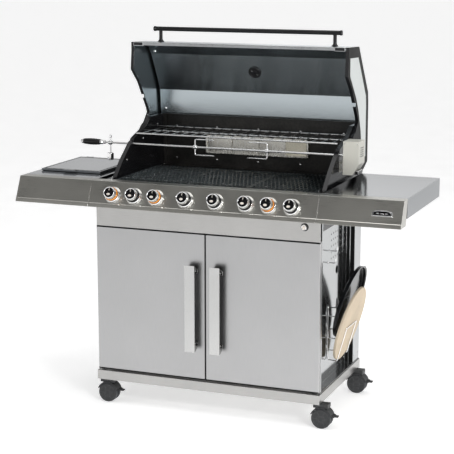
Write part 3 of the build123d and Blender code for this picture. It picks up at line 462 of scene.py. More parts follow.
def strap_finish(face):
    """Steel to the front and at the ends; black behind and at the sides, painted shade that the door's
    reflection also shows beside the strap.
    """
    return 1 if face.normal.y > 0.3 or abs(face.normal.x) > 0.5 else 0


def cap_finish(face):
    """Enamelled rim, black outer side and steel inner side."""
    if abs(face.normal.x) < 0.5:
        return 0
    return 1 if face.normal.x * face.calc_center_median().x > 0 else 2


for side in ("left", "right"):
    softened(f"{side}_door", PRESSED_EDGE, f"{side}_door", "steel", [door_steel])
for side in ("left", "right"):
    softened(f"{side}_door_handle", SHEET_EDGE, f"{side}_door", "steel", [handle_steel, flat_black],
             pick=strap_finish)
softened("front_frame", SHEET_EDGE, "cart", "steel", [header_steel])
softened("control_panel", THIN_EDGE, "cart", "dark_steel", [panel_steel])
softened("shelf_fascias", PRESSED_EDGE, "cart", "dark_steel", [panel_steel])
for side in ("left", "right"):
    softened(f"{side}_shelf", SHEET_EDGE, "cart", "steel", [shelf_steel])
softened("base_tray", PRESSED_EDGE, "cart", "steel", [header_steel])
softened("left_side_panel", SHEET_EDGE, "cart", "steel", [side_steel])
softened("firebox_ends", 0.0025, "cart", "black_enamel", [enamel])
softened("lid_end_caps", 0.002, "lid", "black_enamel", [enamel, flat_black, lid_steel], pick=cap_finish)
softened("rotisserie_motor", PRESSED_EDGE, "cart", "steel", [motor_shell])
softened("side_burner_lid", THIN_EDGE, "side_burner_lid", "steel", [shelf_steel])


# ------------------------ control panel
KNOBS = {number: middle(f"knob_{number}").x for number in range(1, 9)}
AMBER_KNOBS = (1, 3, 7)


def panel_place(x, height=0.0):
    """A matrix on the sloping control panel, its Z out of the panel and its Y up it."""
    return axes(PANEL_MIDDLE + Vector((x, 0, 0)) + PANEL_NORMAL * height, PANEL_NORMAL, RIGHT)


def build_bezels():
    """The dished chrome rings round the knobs."""
    mesh = bmesh.new()
    profile = [(0.036, 0.0), (0.0359, 0.0015), (0.035, 0.003), (0.0338, 0.005), (0.0332, 0.0085),
               (0.0322, 0.0118), (0.0305, 0.0137), (0.0294, 0.0139), (0.0287, 0.013), (0.0285, 0.011),
               (0.0285, 0.0)]
    for x in KNOBS.values():
        lathe(mesh, profile, panel_place(x), 64)
    piece("knob_bezel_rings", mesh, [chrome], "cart", "chrome", "knob_bezels")


def build_knob(number, x):
    """A knob: skirt, collar, ribbed chrome grip, glossy face, raised pointer, pale oval and stem."""
    place = panel_place(x)
    skirt, neck, grip, face = 0.0272, 0.025, 0.0255, 0.0206
    turned = (
        (0, [(0, 0.002), (0.0268, 0.002), (skirt, 0.004), (skirt, 0.013)]),
        (1, [(skirt, 0.013), (0.0276, 0.0145), (0.0274, 0.02), (0.0266, 0.0232), (0.0258, 0.0236)]),
        (0, [(0.0258, 0.0236), (neck, 0.0245), (neck, 0.0262)]),
        (2, [(neck, 0.0262), (grip, 0.0272), (grip, 0.038), (neck, 0.042), (0.0238, 0.0442),
             (0.0222, 0.0446), (0.021, 0.0436), (face, 0.0424)]),
        (3, [(face, 0.0424), (0.015, 0.0429), (0.008, 0.0432), (0, 0.0433)]),
    )
    mesh = bmesh.new()
    for finish, profile in turned:
        lathe(mesh, profile, place, 64, finish)
    ribs = 24
    for step in range(ribs):
        foot = place @ Matrix.Rotation(2 * pi * step / ribs, 4, "Z")
        bar(mesh, (0.0247, -0.0006, 0.0285), (0.02585, 0.0006, 0.0365), 0, 2, foot)
    bar(mesh, (-0.0014, 0.0075, 0.0426), (0.0014, 0.0185, 0.045), 0.0005, 4, place)
    spot = place @ Matrix.Translation((-0.001, -0.0075, 0.0428)) @ Matrix.Diagonal((1.0, 0.62, 1.0, 1.0))
    lathe(mesh, [(0.008, 0), (0.0078, 0.0007), (0.007, 0.001), (0, 0.0011)], spot, 32, 4)
    stem, length = 0.004, 0.033
    lathe(mesh, [(0, 0), (stem, 0), (stem, length), (0, length)], panel_place(x, -0.031), 20, 2)
    collar = amber if number in AMBER_KNOBS else plastic
    piece(f"knob_{number}_turned", mesh, [plastic, collar, chrome, gloss_black, pale_mark], f"knob_{number}",
          "black_plastic", f"knob_{number}")


def build_fascia_plate():
    """The generic arched plate on the right fascia, and a gloss black ring round the light button, painted
    shadow of the button.
    """
    mesh = bmesh.new()
    plate_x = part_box("shelf_fascias")[1].x - 0.082
    half, rise, spring = 0.042, 0.0115, 0.003
    arch = [(half * x, rise * y + spring) for x, y in circle(30)[:16]]
    outline = arch + [(-half, -rise), (half, -rise)]
    outline_plate(mesh, outline, panel_place(plate_x, 0.0002), 0.0016, 0.0006, 0)
    inner = [(x * 0.86, y * 0.72) for x, y in outline]
    outline_plate(mesh, inner, panel_place(plate_x, 0.0014), 0.001, 0.0004, 1)
    for dash_x in (-0.018, 0, 0.018):
        bar(mesh, (dash_x - 0.006, -0.0012, 0.0022), (dash_x + 0.006, 0.0012, 0.0032), 0.0004, 0,
            panel_place(plate_x))
    # A gloss black ring round the button: painted shadow.
    button = middle("light_button")
    button_shadow = axes((button.x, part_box("front_frame")[0].y, button.z), FRONT, RIGHT)
    lathe(mesh, [(0.0122, 0), (0.0165, 0), (0.0162, 0.0012), (0.0124, 0.0018), (0.0122, 0)], button_shadow, 40, 1)
    piece("fascia_plate", mesh, [chrome, gloss_black], "cart", "chrome")


def build_light_button():
    """The light button: a chrome cap with a pale dished middle, on its stem."""
    button = middle("light_button")
    face = axes((button.x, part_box("light_button")[0].y, button.z), FRONT, RIGHT)
    depth, stem_end = 0.008, 0.0219
    mesh = bmesh.new()
    lathe(mesh, [(0.011, -depth), (0.011, -0.0012), (0.0102, -0.0002), (0.009, 0), (0.0084, -0.0008),
                 (0.008, -0.0009)], face, 40, 0)
    lathe(mesh, [(0.008, -0.0009), (0.006, -0.0004), (0, -0.0002)], face, 40, 1)
    lathe(mesh, [(0, -depth), (0.011, -depth)], face, 40, 0)
    lathe(mesh, [(0, -stem_end), (0.008, -stem_end), (0.008, -0.018), (0.005, -0.018), (0.005, -depth)],
          face, 24)
    piece("light_button_cap", mesh, [chrome, pale_mark], "light_button", "chrome", "light_button")


build_bezels()
for number, x in KNOBS.items():
    build_knob(number, x)
build_fascia_plate()
build_light_button()


# ------------------------ doors
def build_door_details(side, name):
    """The screws of a door's handle, its two hinge leaves and black strips at its edges, painted shade in
    the gaps round the door.
    """
    low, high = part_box(f"{name}_handle")
    door_low, door_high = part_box(name)
    mesh = bmesh.new()
    foot, apart, sunk = 0.03, 0.012, 0.003
    for z in (low.z + foot, high.z - foot):
        for x in (-apart, apart):
            screw(mesh, axes(((low.x + high.x) / 2 + x, door_low.y - sunk, z), FRONT, RIGHT), 0.0032)
    outer, inner = (door_high.x, door_low.x) if side > 0 else (door_low.x, door_high.x)
    leaf_x, half, rise, inset = outer - side * 0.024, 0.004, 0.008, 0.01
    for z in (door_low.z + inset, door_high.z - inset):
        bar(mesh, (leaf_x - half, door_low.y + 0.004, z - rise), (leaf_x + half, door_high.y, z + rise),
            0.0006)
    # Black strips along the door's inner edge, top and bottom: painted shade in the gaps round the door.
    gap_shade, proud = 0.0028, 0.0003
    start, end = sorted((inner, inner + side * gap_shade))
    bar(mesh, (start, door_low.y - proud, door_low.z), (end, door_low.y + gap_shade, door_high.z), 0, 1)
    for z in (door_low.z, door_high.z - 2 * gap_shade):
        bar(mesh, (door_low.x, door_low.y - proud, z), (door_high.x, door_low.y + gap_shade, z + 2 * gap_shade), 0, 1)
    piece(f"{name}_fittings", mesh, [worn_chrome, flat_black], name, "steel")


build_door_details(-1, "left_door")
build_door_details(1, "right_door")


# ------------------------ firebox
def build_grids():
    """Cast grids with wavy bars that are narrow below and rounded on top."""
    low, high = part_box("cooking_grids")
    width, gap, bars, end_gap = 0.298, 0.002, 17, 0.0085
    wave, waves, clear = 0.0042, 9, 0.003
    steps = waves * 8
    rail, rim = 0.006, 0.005
    foot, shoulder, crown = low.z + 0.0045, high.z - 0.0025, high.z - 0.0003
    section = [(-0.0018, foot), (-0.003, shoulder), (-0.0016, crown), (0, high.z),
               (0.0016, crown), (0.003, shoulder), (0.0018, foot)]
    mesh = bmesh.new()
    for grid in range(3):
        left = low.x + grid * (width + gap)
        for index in range(bars):
            centre = left + end_gap + index * (width - 2 * end_gap) / (bars - 1)
            rows = []
            for step in range(steps + 1):
                share = step / steps
                y = low.y + clear + share * (high.y - low.y - 2 * clear)
                fade = min(1.0, 8 * share, 8 * (1 - share))
                shift = wave * fade * sin(2 * pi * waves * share)
                rows.append([mesh.verts.new((centre + shift + x, y, z)) for x, z in section])
            skin(mesh, rows)
        for y in (low.y, (low.y + high.y) / 2 - rail / 2, high.y - rail):
            bar(mesh, (left, y, low.z), (left + width, y + rail, high.z - 0.004), 0.001)
        for x in (left, left + width - rim):
            bar(mesh, (x, low.y, low.z), (x + rim, high.y, high.z - 0.0015), 0.001)
    piece("wavy_cooking_grids", mesh, [iron], "cart", "cast_iron", "cooking_grids")


def build_warming_rack():
    """The chromed rack: a rail at the front and the back, a brace below and thin cross wires."""
    low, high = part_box("warming_rack")
    rail, brace, brace_y, wire = 0.004, 0.003, 0.185, 0.002
    z = high.z - rail
    mesh = bmesh.new()
    for y in (low.y + rail, high.y - rail):
        tube(mesh, [(low.x, y, z), (high.x, y, z)], rail, 16)
    tube(mesh, [(low.x, brace_y, low.z + brace), (high.x, brace_y, low.z + brace)], brace, 12)
    wires, pitch = 20, 0.046
    tip, bend, rise = 0.0055, 0.02, 0.0016
    for index in range(wires):
        x = (index - (wires - 1) / 2) * pitch
        path = [(x, low.y + tip, z), (x, low.y + bend, z + rise), (x, high.y - bend, z + rise),
                (x, high.y - tip, z)]
        tube(mesh, rounded(path, 0.006), wire)
    piece("warming_rack_wires", mesh, [worn_chrome], "cart", "chrome", "warming_rack")


def build_rear_burner():
    """The rear burner: a framed ceramic tile with bowed heat shields in front of it."""
    low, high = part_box("rear_burner")
    mesh = bmesh.new()
    rim, lip_y, frame_y = 0.008, low.y + 0.001, low.y + 0.014
    bar(mesh, (low.x, low.y + 0.012, low.z), (high.x, high.y, high.z), 0.001, 0)
    bar(mesh, (low.x + rim, low.y + 0.008, low.z + rim), (high.x - rim, low.y + 0.0125, high.z - rim),
        0.0006, 1)
    for z_low, z_high in ((low.z, low.z + rim), (high.z - rim, high.z)):
        bar(mesh, (low.x, lip_y, z_low), (high.x, frame_y, z_high), 0.0012, 0)
    for x_low, x_high in ((low.x, low.x + rim), (high.x - rim, high.x)):
        bar(mesh, (x_low, lip_y, low.z), (x_high, frame_y, high.z), 0.0012, 0)
    shields, steps, gap, bow, sheet = 3, 8, 0.0015, 0.0035, 0.0012
    span = (high.x - 0.105 - low.x) / shields
    foot, top = low.z + 0.001, high.z - 0.001
    section = [(0, foot), (0, top), (sheet, top), (sheet, foot)]
    for index in range(shields):
        start = low.x + index * span
        rows = []
        for step in range(steps + 1):
            share = step / steps
            x = start + gap + share * (span - 2 * gap)
            front = low.y + 0.0045 - bow * sin(pi * share)
            rows.append([mesh.verts.new((x, front + y, z)) for y, z in section])
        skin(mesh, rows, 2)
        for z in (low.z + 0.006, high.z - 0.006):
            place = axes((start + 0.008, low.y + 0.0012, z), FRONT, RIGHT)
            lathe(mesh, [(0.003, 0), (0.0026, 0.001), (0, 0.0012)], place, 14)
    piece("framed_rear_burner", mesh, [burner_steel, tile, burner_steel], "cart", "burner_tile",
          "rear_burner")


def build_box_bolts():
    """Bolts on the firebox's rear wall and inside its castings."""
    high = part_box("firebox_shell")[1]
    wall_y, casting_x = high.y - 0.002, 0.464
    mesh = bmesh.new()
    for x in (-0.4, -0.2, 0.0, 0.2, 0.4):
        for z in (high.z - 0.055, 0.995):
            lathe(mesh, [(0.0055, 0), (0.0052, 0.0018), (0.004, 0.0032), (0, 0.0038)],
                  axes((x, wall_y, z), FRONT, RIGHT), 20)
    for side in (-1, 1):
        for y, z in ((-0.2, 0.975), (-0.05, 1.035), (0.12, 1.11), (0.28, 1.155)):
            lathe(mesh, [(0.006, 0), (0.0058, 0.0012), (0.0042, 0.0015)],
                  axes((side * casting_x, y, z), (-side, 0, 0), BACK), 20)
    piece("firebox_bolts", mesh, [chrome], "cart", "chrome")


def build_wall_corner_strips():
    """Dark strips over the slots between the firebox's rear wall and its castings."""
    near, far = (0.452, 0.3405, 0.9635), (0.4638, 0.3468, 1.197)
    mesh = bmesh.new()
    for side in (-1, 1):
        start, end = sorted((side * near[0], side * far[0]))
        bar(mesh, (start, *near[1:]), (end, *far[1:]), 0.001)
    piece("wall_corner_strips", mesh, [box_enamel], "cart", "black_enamel")


build_grids()
build_warming_rack()
build_rear_burner()
build_box_bolts()
build_wall_corner_strips()


# ------------------------ lid
def build_cap_panels():
    """Steel panels on the lid's end caps, and the discs over its hinge pins."""
    cap_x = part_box("lid_end_caps")[1].x
    inset = [(0.228, 1.262), (0.19, 1.32), (0.142, 1.372), (0.1, 1.416), (0.098, 1.494), (0.214, 1.49),
             (0.262, 1.422), (0.338, 1.316), (0.343, 1.274), (0.345, 1.052), (0.3, 1.03), (0.266, 1.17)]
    hinge_y, hinge_z = 0.205, 1.098
    mesh = bmesh.new()
    for side in (-1, 1):
        face = Matrix(((0, 0, side, side * cap_x), (1, 0, 0, 0), (0, 1, 0, 0), (0, 0, 0, 1)))
        outline_plate(mesh, inset, face, 0.0012, 0.0005, 0)
        hub = axes((side * cap_x, hinge_y, hinge_z), (side, 0, 0), BACK)
        lathe(mesh, [(0.0175, 0), (0.017, 0.0014), (0.01, 0.002), (0, 0.0022)], hub, 36, 1)
    piece("cap_panels", mesh, [cap_steel_painted_reflection, worn_chrome], "lid", "steel")


def build_lid_lip():
    """The strip along the lid's lip with its black ends, and the lid's bolts."""
    low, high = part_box("lid_skin")
    end, bolt_in = 0.047, 0.03
    mesh = bmesh.new()
    bar(mesh, (low.x + end, 0.07, 1.5262), (high.x - end, 0.0775, 1.5398), 0.0012, 0)
    for side in (-1, 1):
        x_low, x_high = sorted((side * (high.x - end), side * (high.x - 0.001)))
        bar(mesh, (x_low, 0.0685, 1.524), (x_high, 0.079, 1.541), 0.002, 1)
        for y, z in ((0.346, 1.222), (0.228, 1.49)):
            lathe(mesh, [(0.006, 0), (0.0056, 0.002), (0.004, 0.0034), (0, 0.004)],
                  axes((side * (high.x - bolt_in), y, z), (0, -1, -0.25), RIGHT), 20, 2)
    piece("lid_lip", mesh, [side_steel, enamel, chrome], "lid", "steel")


def build_lid_handle():
    """The lid's handle: a bar with turned ends on two posts, and the strip under it."""
    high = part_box("lid_handle")[1]
    bar_y, bar_z, foot_z, post_x = 0.185, high.z - 0.0115, 1.5368, 0.403
    reach = high.x - 0.002
    length = 2 * reach
    ends = [(0, 0), (0.01, 0.0006), (0.0112, 0.002), (0.0114, 0.009), (0.0104, 0.0105), (0.0098, 0.011)]
    profile = ends + [(radius, length - height) for radius, height in reversed(ends)]
    mesh = bmesh.new()
    lathe(mesh, profile, axes((-reach, bar_y, bar_z), RIGHT, BACK), 32, 0)
    for side in (-1, 1):
        lathe(mesh, [(0.015, 0), (0.015, 0.002), (0.0105, 0.005), (0.008, 0.011), (0.0078, 0.044),
                     (0.0095, 0.056), (0.0, 0.0565)], axes((side * post_x, bar_y, foot_z), UP, RIGHT), 28, 0)
    strip_x = 0.438
    bar(mesh, (-strip_x, 0.07, 1.5262), (strip_x, 0.0776, 1.5396), 0.0008, 1)
    piece("lid_handle_bar", mesh, [gloss_black, side_steel], "lid", "black_enamel", "lid_handle")


def build_gauge():
    """The temperature gauge: its nut inside the lid, its stem, and the dial with ticks and a pointer."""
    normal = Vector((0, 0.171, 0.095)).normalized()
    centre = Vector((0, 0.2977, 1.405)) - normal * 0.0002
    liner, stem = 0.0035, 0.0235
    inward = axes(centre - normal * liner, -normal, RIGHT)
    mesh = bmesh.new()
    lathe(mesh, [(0.0285, -liner), (0.0285, 0.002), (0.0272, 0.0036), (0.0225, 0.0042), (0.0215, 0.003),
                 (0.012, 0.0028), (0.0105, 0.0042), (0, 0.0044)], inward, 48, 0)
    bar(mesh, (-0.003, -0.018, 0.0028), (0.003, 0.018, 0.004), 0.0005, 1,
        inward @ Matrix.Rotation(0.9, 4, "Z"))
    outward = axes(centre + normal * stem, normal, RIGHT)
    glass = (0.0322, 0.0096)
    lathe(mesh, [(0.038, 0), (0.0378, 0.006), (0.036, 0.0098), (0.0335, 0.0108), glass], outward, 56, 2)
    lathe(mesh, [glass, (0, 0.01)], outward, 56, 3)
    first, between, ticks = 225, 27, 11
    for step in range(ticks):
        tick = outward @ Matrix.Rotation(radians(first - between * step), 4, "Z")
        bar(mesh, (0.024, -0.0006, 0.0096), (0.029, 0.0006, 0.0102), 0, 0, tick)
    bar(mesh, (-0.005, -0.0008, 0.01), (0.022, 0.0008, 0.0106), 0, 4,
        outward @ Matrix.Rotation(radians(200), 4, "Z"))
    lathe(mesh, [(0.014, 0), (0.014, stem)], axes(centre, normal, RIGHT), 28, 0)
    piece("gauge_dial", mesh, [enamel, worn_chrome, chrome, pale_mark, amber], "lid", "chrome",
          "temperature_gauge")


build_cap_panels()
build_lid_lip()
build_lid_handle()
build_gauge()


# ------------------------ rotisserie
SPIT_Y, SPIT_Z = middle("spit_rod").y, middle("spit_rod").z


def along_x(x):
    """A matrix at a place along the spit, its Z along +X."""
    return axes((x, SPIT_Y, SPIT_Z), RIGHT, BACK)


def build_grip():
    """The spit's grip: a ball end, a swelling ribbed handle and its ferrule."""
    low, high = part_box("spit_handle")
    start, end = along_x(low.x), high.x - low.x
    mesh = bmesh.new()
    lathe(mesh, [(0, 0), (0.004, 0.0012), (0.0068, 0.0045), (0.0074, 0.0098), (0.0096, 0.0112),
                 (0.0102, 0.014), (0.0098, 0.0168)], start, 32, 1)
    steps, thin, swell, groove = 24, 0.0118, 0.0025, 0.0006
    grip = [(0.0098, 0.0168), (0.0112, 0.018)]
    for step in range(steps + 1):
        share = step / steps
        radius = thin + swell * sin(pi * share) ** 0.8
        grip.append((radius - (groove if step % 4 == 0 else 0), 0.02 + 0.078 * share))
    grip += [(0.0112, 0.0995), (0.01, 0.1008)]
    lathe(mesh, grip, start, 32, 0)
    lathe(mesh, [(0.01, 0.1008), (0.0104, 0.102), (0.0104, 0.1085), (0.0092, 0.11), (0.0078, 0.112),
                 (0.0078, end), (0, end)], start, 32, 1)
    piece("turned_grip", mesh, [plastic, chrome], "spit", "black_plastic", "spit_handle")


def build_counterweight():
    """The hub on the spit, its rod, the weight below and the knob above."""
    low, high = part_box("spit_counterweight")
    x = (low.x + high.x) / 2
    rod, hub = 0.0036, 0.0095
    mesh = bmesh.new()
    lathe(mesh, [(0.0046, -0.007), (0.0092, -0.007), (0.01, -0.0055), (0.01, 0.0055), (0.0092, 0.007),
                 (0.0046, 0.007)], along_x(x), 32)
    tube(mesh, [(x, SPIT_Y, SPIT_Z - 0.057), (x, SPIT_Y, SPIT_Z - hub)], rod, 14)
    tube(mesh, [(x, SPIT_Y, SPIT_Z + hub), (x, SPIT_Y, high.z - 0.001)], rod, 14)
    lathe(mesh, [(0, 0), (0.0128, 0), (0.0148, 0.0018), (0.015, 0.004), (0.015, 0.028), (0.0146, 0.0302),
                 (0.012, 0.0318), (rod, 0.032)], axes((x, SPIT_Y, low.z), UP, RIGHT), 36)
    lathe(mesh, [(rod, 0), (0.0062, 0.0006), (0.007, 0.003), (0.007, 0.008), (0.006, 0.01), (rod, 0.0104)],
          axes((x, SPIT_Y, high.z - 0.016), UP, RIGHT), 24)
    piece("counterweight_turned", mesh, [chrome], "spit", "chrome", "spit_counterweight")


def build_forks():
    """The two meat forks: hubs, bent prongs with points and thumb screws."""
    low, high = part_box("spit_forks")
    reach, prong, length, hub = 0.034, 0.0025, 0.082, 0.0085
    mesh = bmesh.new()
    for x, way in ((low.x + 0.008, 1), (high.x - 0.008, -1)):
        lathe(mesh, [(0.0046, -0.008), (0.0082, -0.008), (0.009, -0.0068), (0.009, 0.0068), (0.0082, 0.008),
                     (0.0046, 0.008)], along_x(x), 28)
        for turn in (-1, 1):
            tip_z = SPIT_Z + turn * reach
            path = [(x, SPIT_Y, SPIT_Z + turn * hub), (x, SPIT_Y, tip_z), (x + way * length, SPIT_Y, tip_z)]
            tube(mesh, rounded(path, 0.006), prong, 12)
            end = axes((x + way * (length - 0.0005), SPIT_Y, tip_z), (way, 0, 0), BACK)
            lathe(mesh, [(prong, 0), (0.0016, 0.0045), (0.0006, 0.008), (0, 0.0085)], end, 12)
        lathe(mesh, [(0.0024, 0), (0.0024, 0.005), (0.003, 0.0055), (0.003, 0.011), (0.0024, 0.0114),
                     (0, 0.0114)], axes((x, SPIT_Y + hub, SPIT_Z), BACK, RIGHT), 16)
    piece("fork_wires", mesh, [chrome], "spit", "steel", "spit_forks")


def build_motor_details():
    """The motor's switch box, drive collar, vents drawn as black strips of painted shade, and screws."""
    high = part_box("rotisserie_motor")[1]
    face_x, screw_in = 0.5025, 0.008
    mesh = bmesh.new()
    for x in (face_x + screw_in, high.x - screw_in):
        screw(mesh, axes((x, -0.003, high.z - 0.01), FRONT, RIGHT), 0.0028)
    # Black strips on the motor's side stand for its vent slots: painted shade in the slots.
    vents, pitch = 5, 0.009
    for row in range(vents):
        z = high.z - 0.03 - row * pitch
        bar(mesh, (high.x - 0.0002, 0.018, z), (high.x + 0.0004, 0.062, z + 0.0035), 0, 1)
    lathe(mesh, [(0.0064, 0), (0.0115, 0), (0.012, 0.001), (0.0118, 0.003), (0.0064, 0.0034)],
          axes((face_x, SPIT_Y, SPIT_Z), LEFT, BACK), 28, 0)
    bar(mesh, (high.x - 0.02, 0.004, 1.0215), (high.x - 0.004, 0.07, 1.0375), 0.0015, 1)
    piece("motor_fittings", mesh, [worn_chrome, gloss_black], "cart", "steel")


build_grip()
build_counterweight()
build_forks()
build_motor_details()


# ------------------------ side burner
def build_flame_cap():
    """The side burner's cap, and gloss black bars at the ports in its rim: painted shade in the port holes.
    """
    place = axes((-0.686, 0.025, 0.9335), UP, RIGHT)
    ports = 28
    mesh = bmesh.new()
    lathe(mesh, [(0.03, 0.023), (0.044, 0.0235), (0.0455, 0.0245), (0.044, 0.0262), (0.02, 0.0285),
                 (0, 0.029)], place, 48, 0)
    for step in range(ports):
        port = place @ Matrix.Rotation(2 * pi * step / ports, 4, "Z")
        bar(mesh, (0.0455, -0.001, 0.012), (0.0466, 0.001, 0.02), 0, 1, port)
    piece("flame_cap", mesh, [enamel, gloss_black], "cart", "black_enamel")


def build_cover_trim():
    """The bead round the side burner's cover, and its handle and screws."""
    low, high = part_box("side_burner_lid")
    left, right, front, back = low.x + 0.01, high.x - 0.01, low.y + 0.022, 0.2
    corners = ((left, front), (right, front), (right, back), (left, back), (left, front))
    bead = [(x, y, high.z) for x, y in corners]
    mesh = bmesh.new()
    for start, end in zip(bead, bead[1:]):
        tube(mesh, [start, end], 0.0009, 8, 0)
    centre_x, half, apart = -0.686, 0.028, 0.018
    bar(mesh, (centre_x - half, low.y + 0.0002, high.z - 0.0058),
        (centre_x + half, low.y + 0.0165, high.z + 0.001), 0.0015, 1)
    for x in (centre_x - apart, centre_x + apart):
        screw(mesh, axes((x, low.y + 0.024, high.z - 0.0002), UP, RIGHT), 0.003)
    piece("cover_trim", mesh, [shelf_steel, gloss_black], "side_burner_lid", "steel")


build_flame_cap()
build_cover_trim()


# ------------------------ side rack, stone and pan
TILT = radians(15.8)
LEAN = Vector((cos(TILT), 0, -sin(TILT)))


def build_rack():
    """The chromed wire rack: bent tiers, spines with clips and screws, and two tool hooks."""
    foot_z, pitch, half, centre = 0.2314, 0.0955, 0.071, 0.014
    spine_x, panel_x, wire, clip, clip_z = 0.465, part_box("side_rack")[0].x, 0.0025, 0.008, 0.06
    mesh = bmesh.new()
    for side in (-1, 1):
        y = centre + side * half
        tube(mesh, [(spine_x, y, foot_z + 0.005), (spine_x, y, foot_z + 2 * pitch + 0.045)], wire, 12)
        for z in (foot_z + clip_z, foot_z + pitch + clip_z):
            bar(mesh, (panel_x, y - clip, z - clip), (spine_x, y + clip, z + clip), 0.0006)
            screw(mesh, axes((spine_x, y + side * 0.0052, z), RIGHT, BACK), 0.0022)
    for tier in range(3):
        foot = foot_z + tier * pitch
        bends = [(spine_x, foot + 0.038), (0.468, foot + 0.002), (0.5065, foot), (0.5473, foot + 0.1443)]
        path = [(x, centre - half, z) for x, z in bends]
        path += [(x, centre + half, z) for x, z in reversed(bends)]
        tube(mesh, rounded(path, 0.004, 7), wire, 12)
    hook, tip = 0.034, 0.022
    for y, z in ((-0.035, 0.7), (-0.062, 0.655)):
        path = [(panel_x, y, z), (panel_x + hook, y, z), (panel_x + hook, y, z + tip)]
        tube(mesh, rounded(path, 0.008, 6), wire, 12)
        lathe(mesh, [(wire, 0), (0.0062, 0), (0.0058, 0.0015), (wire, 0.0019)],
              axes((panel_x, y, z), RIGHT, BACK), 20)
    piece("rack_wires", mesh, [chrome, gloss_black], "cart", "chrome", "side_rack")


def build_disc(node, name, finish, slot, profile):
    """A round piece that leans in the rack, turned about the middle of its CAD node."""
    mesh = bmesh.new()
    lathe(mesh, profile, axes(middle(node), LEAN, BACK), 128)
    piece(name, mesh, [finish], node, slot, node)


def build_discs():
    """The pizza stone with its worn rim, and the dished baking pan with a rolled edge."""
    radius, half = 0.164, 0.006
    build_disc("pizza_stone", "fired_stone", stone, "stone", [
        (0, -half), (radius - 0.003, -half), (radius - 0.0008, -half + 0.001), (radius, -half + 0.003),
        (radius, half - 0.003), (radius - 0.0008, half - 0.001), (radius - 0.003, half),
        (radius - 0.01, half), (radius - 0.011, half - 0.0004), (0, half - 0.0004)])
    half = 0.009
    floor = 0.002 - half
    build_disc("baking_pan", "rolled_pan", gloss_black, "black_enamel", [
        (0, -half), (0.156, -half), (0.1595, -half + 0.0016), (0.1622, half - 0.004), (0.164, half - 0.0014),
        (0.1648, half - 0.0006), (0.1645, half), (0.161, half), (0.158, half - 0.0014),
        (0.1562, half - 0.003), (0.1545, -half + 0.0044), (0.1515, -half + 0.0024), (0.144, floor),
        (0.12, floor), (0.119, floor + 0.0006), (0.112, floor + 0.0006), (0.111, floor), (0, floor)])


def build_side_screws():
    """Screws on the side panels, the right panel's post and the back panel."""
    low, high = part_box("right_side_panel")
    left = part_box("left_side_panel")[0]
    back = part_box("back_panel")[1]
    inset, under_top, face_x, radius = 0.03, 0.11, 0.462, 0.0035
    mesh = bmesh.new()
    for z in (low.z + inset, high.z - under_top):
        for x, y in ((face_x, -0.236), (face_x, 0.192), (high.x, 0.228), (high.x, 0.28)):
            screw(mesh, axes((x, y, z), RIGHT, BACK), radius)
    for z in (left.z + inset, 0.46, high.z - under_top):
        for y in (-0.24, 0.02, 0.278):
            screw(mesh, axes((left.x, y, z), LEFT, BACK), radius)
    for x in (-0.445, -0.15, 0.15, 0.445):
        for z in (back.z - 0.02, left.z + 0.02):
            screw(mesh, axes((x, back.y, z), BACK, RIGHT), radius)
    piece("panel_screws", mesh, [worn_chrome, gloss_black], "cart", "steel")


def build_recess_strips():
    """Black strips down the corners of the recess in the right side panel: painted shade in the recess."""
    low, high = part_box("right_side_panel")
    face_x, front_y, rear_y, foot, top = 0.4622, -0.2495, 0.2058, low.z + 0.003, 0.799
    mesh = bmesh.new()
    for inner, outer in ((face_x + 0.0015, face_x + 0.014), (face_x + 0.019, high.x - 0.0015)):
        bar(mesh, (inner, rear_y - 0.0012, foot), (outer, rear_y, top), 0.0003)
    bar(mesh, (face_x, front_y, foot), (face_x + 0.001, front_y + 0.011, top), 0.0003)
    piece("recess_strips", mesh, [flat_black], "cart", "steel")


build_rack()
build_discs()
build_side_screws()
build_recess_strips()


# ------------------------ casters
def build_wheels(corner):
    """A caster's dished twin wheels with spokes, on their axle."""
    body = f"caster_wheels_{corner}"
    low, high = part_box(body)
    centre = (low + high) / 2
    radius = (high.z - low.z) / 2
    offset, spokes, axle = 0.0056, 6, 0.02
    mesh = bmesh.new()
    for side in (-1, 1):
        place = axes((centre.x, centre.y + side * offset, centre.z), (0, side, 0), RIGHT)
        lathe(mesh, [(0, 0), (0.04, 0), (0.0418, 0.0012), (radius, 0.004), (radius, 0.013), (0.0418, 0.0158),
                     (0.0398, 0.0172)], place, 64, 0)
        lathe(mesh, [(0.0398, 0.0172), (0.035, 0.018), (0.034, 0.0168), (0.0325, 0.0164), (0.018, 0.0174),
                     (0.0165, 0.0186), (0.012, 0.0189), (0.0105, 0.0178), (0.004, 0.0176), (0, 0.0178)],
              place, 64, 1)
        for spoke in range(spokes):
            arm = place @ Matrix.Rotation(2 * pi * spoke / spokes, 4, "Z")
            bar(mesh, (0.0175, -0.0012, 0.0164), (0.0335, 0.0012, 0.0181), 0.0005, 1, arm)
    tube(mesh, [(centre.x, centre.y - axle, centre.z), (centre.x, centre.y + axle, centre.z)], 0.004, 16, 1)
    piece(f"caster_{corner}_wheel_pair", mesh, [tread, caster_plastic], body, "caster_tread", body)


